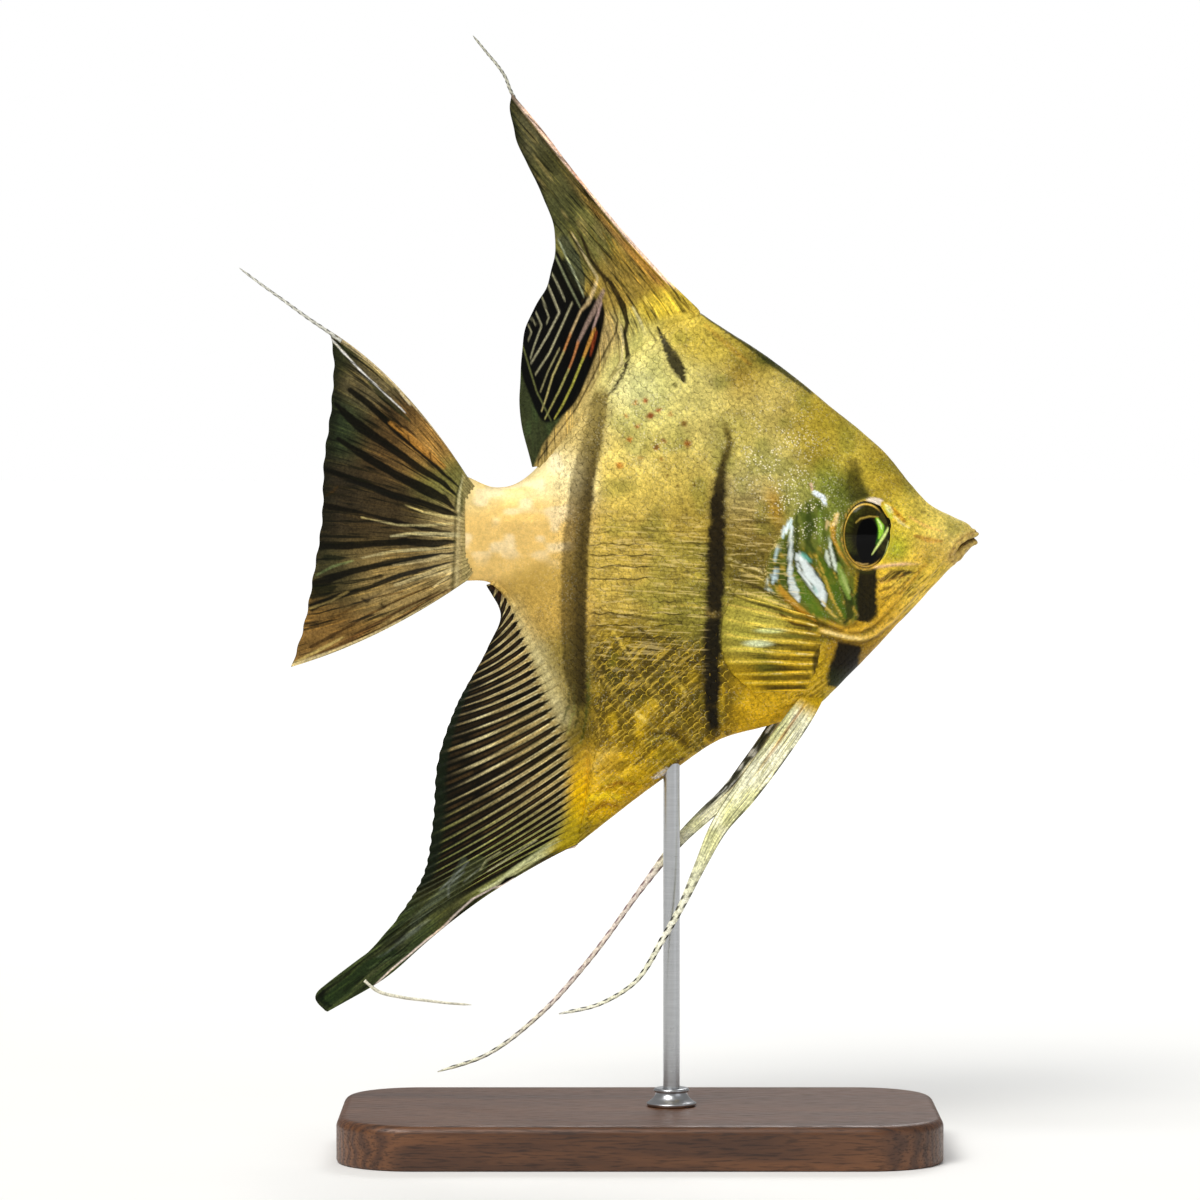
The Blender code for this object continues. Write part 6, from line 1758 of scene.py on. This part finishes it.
def scaledSkin():
    # Fish skin and scales: thin horny plates over silver and gold pigment, wet with slime. The eye gets a
    # fine grain, dark pores, bright flecks of painted sparkle (painted highlights), thin dark lines between
    # the rows of scales, hair-fine streaks along the jaw and flank, and a golden gleam where the plates lie
    # smooth.
    material, tree, place = newMaterial("scaledSkin")
    tones = addNode(tree, "Attribute", attribute_name="tone")
    glassy = tones.outputs["Alpha"]
    painted = addNode(tree, "Attribute", attribute_name="marks")
    marks = addNode(tree, "SeparateColor", {0: painted.outputs["Color"]}).outputs
    grain = addNode(
        tree, "TexNoise",
        {"Vector": place, "Scale": perMillimetre(skinLooks["grain"]), "Detail": 6.0, "Roughness": 0.8},
    )
    patchy = addNode(
        tree, "TexNoise", {"Vector": place, "Scale": perMillimetre(skinLooks["patches"]), "Detail": 3.0}
    )
    light = addNode(
        tree, "MapRange",
        {"Value": grain.outputs[0], "From Min": 0.36, "From Max": 0.66, "To Min": 0.54, "To Max": 1.5},
    )
    calm = addNode(
        tree, "MapRange", {"Value": glassy, "From Min": 0.15, "From Max": 0.42, "To Min": 1.0, "To Max": 0.3}
    ).outputs[0]
    colour = addNode(
        tree, "Mix", {0: calm, 6: tones.outputs["Color"], 7: light.outputs[0]},
        data_type="RGBA", blend_type="MULTIPLY",
    ).outputs[2]

    # A dark pore in each cell, and bright flecks of painted sparkle, painted highlights, where the marks ask
    # for them.
    pores = addNode(tree, "TexVoronoi", {"Vector": place, "Scale": perMillimetre(skinLooks["pores"])})
    pore = addNode(
        tree, "MapRange",
        {"Value": pores.outputs["Distance"], "From Min": 0.1, "From Max": 0.3, "To Min": 0.36, "To Max": 0.0},
    )
    pore = addNode(tree, "Math", {0: pore.outputs[0], 1: calm}, operation="MULTIPLY")
    colour = addNode(
        tree, "Mix", {0: pore.outputs[0], 6: colour, 7: rgba(skinLooks["poreColour"])},
        data_type="RGBA", blend_type="MULTIPLY",
    ).outputs[2]
    speck = addNode(tree, "TexVoronoi", {"Vector": place, "Scale": perMillimetre(skinLooks["sparkleSize"])})
    dots = addNode(
        tree, "MapRange",
        {
            "Value": speck.outputs["Distance"],
            "From Min": 0.18, "From Max": 0.42, "To Min": 1.0, "To Max": 0.0,
        },
    )
    where = addNode(
        tree, "MapRange",
        {"Value": patchy.outputs[0], "From Min": 0.45, "From Max": 0.56},
    )
    paintedSparkle = addNode(tree, "Math", {0: dots.outputs[0], 1: where.outputs[0]}, operation="MULTIPLY")
    paintedSparkle = addNode(tree, "Math", {0: paintedSparkle.outputs[0], 1: marks[1]}, operation="MULTIPLY")
    colour = addNode(
        tree, "Mix", {0: paintedSparkle.outputs[0], 6: colour, 7: rgba(skinLooks["sparkleColour"])}, data_type="RGBA"
    ).outputs[2]

    # Thin wandering lines between the rows: the sine of the height.
    level = addNode(tree, "SeparateXYZ", {0: place}).outputs[2]
    wander = addNode(
        tree, "MapRange",
        {"Value": patchy.outputs[0], "From Min": 0.3, "From Max": 0.7, "To Min": -0.0004, "To Max": 0.0004},
    )
    level = addNode(tree, "Math", {0: level, 1: wander.outputs[0]}, operation="ADD").outputs[0]
    turns = addNode(
        tree, "Math", {0: level, 1: 2 * math.pi * perMillimetre(skinLooks["rowGap"])}, operation="MULTIPLY"
    ).outputs[0]
    waves = addNode(tree, "Math", {0: turns}, operation="SINE").outputs[0]
    line = addNode(
        tree, "MapRange", {"Value": waves, "From Min": 0.84, "From Max": 1.0, "To Max": 0.8}
    )
    line = addNode(tree, "Math", {0: line.outputs[0], 1: marks[0]}, operation="MULTIPLY")
    colour = addNode(
        tree, "Mix", {0: line.outputs[0], 6: colour, 7: rgba(skinLooks["lineColour"])}, data_type="RGBA"
    ).outputs[2]

    # Hairs: noise drawn out along the jaw, and along the flank; light where it is high, dark where low.
    for (turn, pale), share in (
        (skinLooks["hairsOnJaw"], marks[2]), (skinLooks["hairsOnFlank"], painted.outputs["Alpha"]),
    ):
        along = addNode(
            tree, "Mapping",
            {"Vector": place, "Rotation": (0, turn, 0), "Scale": (skinLooks["hairLength"], 1, 1)},
            vector_type="TEXTURE",
        )
        hair = addNode(
            tree, "TexNoise", {
                "Vector": along.outputs[0], "Scale": perMillimetre(skinLooks["hairs"]),
                "Detail": 2.0, "Roughness": 0.6,
            },
        )
        for low, high, hexColour, most in (
            (0.55, 0.63, pale, 0.75), (0.45, 0.38, skinLooks["hairShadow"], 0.7),
        ):
            stripe = addNode(
                tree, "MapRange",
                {"Value": hair.outputs[0], "From Min": low, "From Max": high, "To Max": most},
            )
            stripe = addNode(tree, "Math", {0: stripe.outputs[0], 1: share}, operation="MULTIPLY")
            colour = addNode(
                tree, "Mix", {0: stripe.outputs[0], 6: colour, 7: rgba(hexColour)},
                data_type="RGBA",
            ).outputs[2]

    rough = addNode(tree, "MapRange", {"Value": glassy, "To Min": 0.5, "To Max": 0.12})
    metal = addNode(tree, "MapRange", {"Value": glassy, "To Min": 0.12, "To Max": 0.5})
    bump = addNode(tree, "Bump", {"Height": grain.outputs[0], "Strength": 0.7, "Distance": 0.00016})
    shader = addNode(tree, "BsdfPrincipled", {
        "Base Color": colour, "Roughness": rough.outputs[0], "Metallic": metal.outputs[0],
        "Specular IOR Level": 0.1, "Coat Weight": 0.03, "Coat Roughness": 0.12, "Normal": bump.outputs[0],
    })
    addNode(tree, "OutputMaterial", {"Surface": shader.outputs[0]})
    return material


webLooks = {
    "grain": 0.45,  # millimetres
    # Streaks along the rays, dark and bright: how many across a millimetre, the noise where each starts and
    # is full, its colour, how it is laid on, and its strength.
    "streaks": (
        (2.0, 0.48, 0.34, rgba("0b0d05"), "MIX", 0.85),
        (2.6, 0.54, 0.68, (2.7, 2.5, 1.9, 1), "MULTIPLY", 0.6),
    ),
    "alongScale": 0.11,  # a streak is about 9 mm long
}


def finWeb(name, sheen):
    # Fin web: a thin film of skin between soft bony rays, wet. The eye gets fine streaks of pigment and a
    # soft gloss.
    material, tree, place = newMaterial(name)
    tones = addNode(tree, "Attribute", attribute_name="tone")
    grain = addNode(
        tree, "TexNoise",
        {"Vector": place, "Scale": perMillimetre(webLooks["grain"]), "Detail": 5.0, "Roughness": 0.75},
    )
    light = addNode(
        tree, "MapRange",
        {"Value": grain.outputs[0], "From Min": 0.35, "From Max": 0.66, "To Min": 0.55, "To Max": 1.45},
    )
    colour = addNode(
        tree, "Mix", {0: 1.0, 6: tones.outputs["Color"], 7: light.outputs[0]},
        data_type="RGBA", blend_type="MULTIPLY",
    ).outputs[2]

    # Streaks: noise over the way across the rays and along them, dark where low, bright where high.
    painted = addNode(tree, "Attribute", attribute_name="marks").outputs["Color"]
    share = addNode(tree, "SeparateColor", {0: painted}).outputs[2]
    for across, low, high, shade, blend, most in webLooks["streaks"]:
        drawnOut = addNode(
            tree, "Mapping", {"Vector": painted, "Scale": (across, webLooks["alongScale"], 0.0)}
        )
        streak = addNode(
            tree, "TexNoise", {"Vector": drawnOut.outputs[0], "Scale": 1.0, "Detail": 2.0, "Roughness": 0.6}
        )
        stripe = addNode(
            tree, "MapRange",
            {"Value": streak.outputs[0], "From Min": low, "From Max": high, "To Max": most},
        )
        stripe = addNode(tree, "Math", {0: stripe.outputs[0], 1: share}, operation="MULTIPLY")
        colour = addNode(
            tree, "Mix", {0: stripe.outputs[0], 6: colour, 7: shade}, data_type="RGBA", blend_type=blend
        ).outputs[2]
    bump = addNode(tree, "Bump", {"Height": grain.outputs[0], "Strength": 0.5, "Distance": 0.00012})
    shader = addNode(tree, "BsdfPrincipled", {
        "Base Color": colour, "Roughness": sheen, "Specular IOR Level": 0.06, "Normal": bump.outputs[0],
    })
    addNode(tree, "OutputMaterial", {"Surface": shader.outputs[0]})
    return material


def corneaGlass():
    # The eye: pigment seen under a clear, wet cornea, so dark with small mirror-bright lights.
    material, tree, place = newMaterial("corneaGlass")
    tones = addNode(tree, "Attribute", attribute_name="tone")
    fibre = addNode(tree, "TexNoise", {"Vector": place, "Scale": perMillimetre(0.3), "Detail": 3.0})
    light = addNode(
        tree, "MapRange",
        {"Value": fibre.outputs[0], "From Min": 0.3, "From Max": 0.7, "To Min": 0.7, "To Max": 1.25},
    )
    colour = addNode(
        tree, "Mix", {0: 1.0, 6: tones.outputs["Color"], 7: light.outputs[0]},
        data_type="RGBA", blend_type="MULTIPLY",
    )
    shader = addNode(tree, "BsdfPrincipled", {
        "Base Color": colour.outputs[2], "Roughness": 0.08, "IOR": 1.34, "Specular IOR Level": 0.12,
        "Coat Weight": 0.1, "Coat Roughness": 0.02, "Coat IOR": 1.34,
    })
    addNode(tree, "OutputMaterial", {"Surface": shader.outputs[0]})
    return material


woodLooks = {
    # Sizes of the patterns, in millimetres.
    "wander": 9,
    "lines": 2.6,
    "pores": 0.35,
    "stretch": 0.09,  # how much the patterns are drawn out along the grain
    "dark": "4a2c18",
    "light": "6e4526",
    "broad": "3a2213",
}


def oiledWalnut():
    # Walnut, planed and oiled: long brown grain lines that wander, fine pores and a low sheen.
    material, tree, place = newMaterial("oiledWalnut")
    stretched = addNode(
        tree, "Mapping", {"Vector": place, "Scale": (woodLooks["stretch"], 1.0, 1.0)}
    ).outputs[0]
    wander = addNode(
        tree, "TexNoise", {"Vector": stretched, "Scale": perMillimetre(woodLooks["wander"]), "Detail": 3.0}
    )
    grain = addNode(
        tree, "TexWave",
        {
            "Vector": stretched, "Scale": perMillimetre(woodLooks["lines"]) / 2,
            "Distortion": 7.0, "Detail": 4.0, "Detail Scale": 1.4,
        },
        bands_direction="Y",
    )
    pores = addNode(
        tree, "TexNoise", {"Vector": stretched, "Scale": perMillimetre(woodLooks["pores"]), "Detail": 3.0}
    )
    colour = addNode(
        tree, "Mix", {0: grain.outputs["Fac"], 6: rgba(woodLooks["dark"]), 7: rgba(woodLooks["light"])},
        data_type="RGBA",
    ).outputs[2]
    broad = addNode(
        tree, "MapRange",
        {"Value": wander.outputs[0], "From Min": 0.4, "From Max": 0.7, "To Max": 0.6},
    )
    colour = addNode(
        tree, "Mix", {0: broad.outputs[0], 6: colour, 7: rgba(woodLooks["broad"])}, data_type="RGBA"
    ).outputs[2]
    dark = addNode(
        tree, "MapRange",
        {"Value": pores.outputs[0], "From Min": 0.36, "From Max": 0.5, "To Min": 0.55, "To Max": 1.1},
    )
    colour = addNode(
        tree, "Mix", {0: 1.0, 6: colour, 7: dark.outputs[0]}, data_type="RGBA", blend_type="MULTIPLY"
    ).outputs[2]
    rough = addNode(
        tree, "MapRange",
        {"Value": pores.outputs[0], "From Min": 0.35, "From Max": 0.55, "To Min": 0.6, "To Max": 0.36},
    )
    bump = addNode(tree, "Bump", {"Height": pores.outputs[0], "Strength": 0.3, "Distance": 0.0001})
    shader = addNode(
        tree, "BsdfPrincipled",
        {"Base Color": colour, "Roughness": rough.outputs[0], "Normal": bump.outputs[0]},
    )
    addNode(tree, "OutputMaterial", {"Surface": shader.outputs[0]})
    return material


steelLooks = {"scratches": 0.25, "dark": "a9abad", "light": "c9cbcd"}  # scratches in millimetres


def brushedSteel():
    # Stainless steel, brushed round the rod: a grey metal with fine rings that smear its highlights.
    material, tree, place = newMaterial("brushedSteel")
    rings = addNode(tree, "Mapping", {"Vector": place, "Scale": (0.05, 0.05, 1.0)}).outputs[0]
    scratches = addNode(
        tree, "TexNoise", {"Vector": rings, "Scale": perMillimetre(steelLooks["scratches"]), "Detail": 3.0}
    )
    colour = addNode(
        tree, "Mix", {0: scratches.outputs[0], 6: rgba(steelLooks["dark"]), 7: rgba(steelLooks["light"])},
        data_type="RGBA",
    )
    rough = addNode(tree, "MapRange", {"Value": scratches.outputs[0], "To Min": 0.22, "To Max": 0.4})
    bump = addNode(tree, "Bump", {"Height": scratches.outputs[0], "Strength": 0.15, "Distance": 0.00005})
    shader = addNode(tree, "BsdfPrincipled", {
        "Base Color": colour.outputs[2], "Metallic": 1.0,
        "Roughness": rough.outputs[0], "Normal": bump.outputs[0],
    })
    addNode(tree, "OutputMaterial", {"Surface": shader.outputs[0]})
    return material


skinMaterial = scaledSkin()
webMaterial = finWeb("finWeb", 0.42)
pelvicMaterial = finWeb("pelvicWeb", 0.34)
eyeMaterial = corneaGlass()

makePiece(
    "fish_skin", skinShape(), skinMaterial,
    ["head", "lower_jaw", "gill_cover_left", "gill_cover_right", "trunk", "tail_stalk"],
)
for sideName, sideSign in (("left", 1), ("right", -1)):
    for place, replaced in (("flank", "trunk"), ("head", "head")):
        makePiece(
            place + "_scales_" + sideName, scaleShape(sideSign, place), skinMaterial, [replaced]
        )

for finName, fin, shapeOf in (
    ("dorsal", dorsal, dorsalShape), ("anal", anal, analShape), ("tail", tail, tailShape),
):
    makePiece(
        finName + "_fin_web", joined([shapeOf(), thread(fin)]), webMaterial,
        [finName + "_fin", finName + "_streamer"],
    )

for sideName, sideSign in (("left", 1), ("right", -1)):
    makePiece(
        "pectoral_web_" + sideName, pectoralShape(sideSign), webMaterial,
        ["pectoral_fin_" + sideName],
    )
    makePiece(
        "pelvic_web_" + sideName, pelvicShape(sideName), pelvicMaterial,
        ["pelvic_fin_" + sideName],
    )
    makePiece("eye_glass_" + sideName, eyeShape(sideSign), eyeMaterial, ["eye_" + sideName])

walnut, steel = oiledWalnut(), brushedSteel()
makePiece("stand_base_walnut", baseShape(), walnut, ["stand_base"], inFish=False)
makePiece("stand_rod_steel", rodShape(), steel, ["stand_rod"], inFish=False)
makePiece("stand_collar_steel", collarShape(), steel, ["stand_collar"], inFish=False)

studio = {
    "floorReach": 9.0,
    "floor": "f4f4f2",
    "floorPale": "f8f8f6",
    "floorPatches": 60,  # millimetres
    "glow": 0.42,
    "glowFrom": 0.35,
    "glowFull": 1.6,
    "world": "ffffff",
    "worldStrength": 0.29,
    # Place, size, power and colour of each soft lamp.
    "key": ((-0.45, -0.85, 1.0), 0.45, 4.8, "fffaf2"),
    "fill": ((0.95, -0.8, 0.45), 0.9, 1.4, "f4f7ff"),
    "rim": ((0.2, 0.9, 0.9), 0.6, 5.0, "ffffff"),
    # The light from far off: where it comes from, its strength and how wide it looks, in degrees.
    "sky": ((-0.5, -0.75, 1.1), 1.75, 40.0),
    "aim": (-0.0011, 0.0, 0.0994),
    "frameWidth": 0.216,
    "distance": 1.0,
    "elevation": 2.0,
    "sensor": 36.0,
}


def makeFloor():
    # A flat round floor: rings of points closed by a face at the middle.
    radius = np.array([0.02, 0.3, 1.0, 3.0, studio["floorReach"]])
    turn = np.linspace(0, 2 * np.pi, 97)[:-1]
    x, y = radius[:, None] * np.cos(turn), radius[:, None] * np.sin(turn)
    points = np.stack([x, y, 0 * x], axis=-1).reshape(-1, 3)
    index = np.arange(len(points)).reshape(len(radius), len(turn))
    wrapped = np.concatenate([index, index[:, :1]], axis=1)
    mesh = bpy.data.meshes.new("studio_floor")
    mesh.from_pydata(points.tolist(), [], cells(wrapped)[:, ::-1].tolist() + [index[0].tolist()])
    # Painted plaster: matt, with the faintest unevenness. Its far part glows, more with distance, so that it
    # looks as white as near the stand.
    material, tree, place = newMaterial("paintedPlaster")
    uneven = addNode(
        tree, "TexNoise",
        {"Vector": place, "Scale": perMillimetre(studio["floorPatches"]), "Detail": 2.0},
    )
    colour = addNode(
        tree, "Mix", {0: uneven.outputs[0], 6: rgba(studio["floor"]), 7: rgba(studio["floorPale"])},
        data_type="RGBA",
    )
    away = addNode(tree, "VectorMath", {0: place}, operation="LENGTH").outputs["Value"]
    glow = addNode(
        tree, "MapRange",
        {"Value": away, "From Min": studio["glowFrom"], "From Max": studio["glowFull"],
         "To Max": studio["glow"]},
        interpolation_type="SMOOTHSTEP",
    )
    shader = addNode(tree, "BsdfPrincipled", {
        "Base Color": colour.outputs[2], "Roughness": 0.9,
        "Emission Color": (1, 1, 1, 1), "Emission Strength": glow.outputs[0],
    })
    addNode(tree, "OutputMaterial", {"Surface": shader.outputs[0]})
    mesh.materials.append(material)
    floor = bpy.data.objects.new("studio_floor", mesh)
    bpy.context.scene.collection.objects.link(floor)


def makeLamp(name, place, size, power, colour):
    # A round soft lamp that looks at the fish.
    lamp = bpy.data.lights.new(name, "AREA")
    lamp.shape = "DISK"
    lamp.size, lamp.energy, lamp.color = size, power, linear(colour)
    lampObject = bpy.data.objects.new(name, lamp)
    lampObject.location = place
    lampObject.rotation_euler = (Vector(studio["aim"]) - Vector(place)).to_track_quat("-Z", "Y").to_euler()
    bpy.context.scene.collection.objects.link(lampObject)


def makeCamera():
    # Focal length = sensor width x distance / width of the frame; a little above the fish, on its right.
    tilt = math.radians(studio["elevation"])
    aim = Vector(studio["aim"])
    camera = bpy.data.cameras.new("camera")
    camera.sensor_width = studio["sensor"]
    camera.lens = studio["sensor"] * studio["distance"] / studio["frameWidth"]
    cameraObject = bpy.data.objects.new("camera", camera)
    cameraObject.location = aim + studio["distance"] * Vector((0, -math.cos(tilt), math.sin(tilt)))
    cameraObject.rotation_euler = (aim - cameraObject.location).to_track_quat("-Z", "Y").to_euler()
    bpy.context.scene.collection.objects.link(cameraObject)
    bpy.context.scene.camera = cameraObject


def makeSky():
    # One even light from far off.
    place, strength, width = studio["sky"]
    sky = bpy.data.lights.new("sky_lamp", "SUN")
    sky.energy, sky.angle = strength, math.radians(width)
    skyObject = bpy.data.objects.new("sky_lamp", sky)
    skyObject.rotation_euler = (-Vector(place)).to_track_quat("-Z", "Y").to_euler()
    bpy.context.scene.collection.objects.link(skyObject)


makeFloor()
makeSky()
for lampName in ("key", "fill", "rim"):
    makeLamp(lampName + "_lamp", *studio[lampName])
makeCamera()
world = bpy.data.worlds.new("studio_world")
world.use_nodes = True
background = world.node_tree.nodes["Background"]
background.inputs["Color"].default_value = rgba(studio["world"])
seen = addNode(world.node_tree, "LightPath").outputs["Is Camera Ray"]
strength = addNode(
    world.node_tree, "MapRange", {"Value": seen, "To Min": studio["worldStrength"]}
)
world.node_tree.links.new(strength.outputs[0], background.inputs["Strength"])
bpy.context.scene.world = world
bpy.context.scene.view_settings.view_transform = "Standard"
print("studio made")
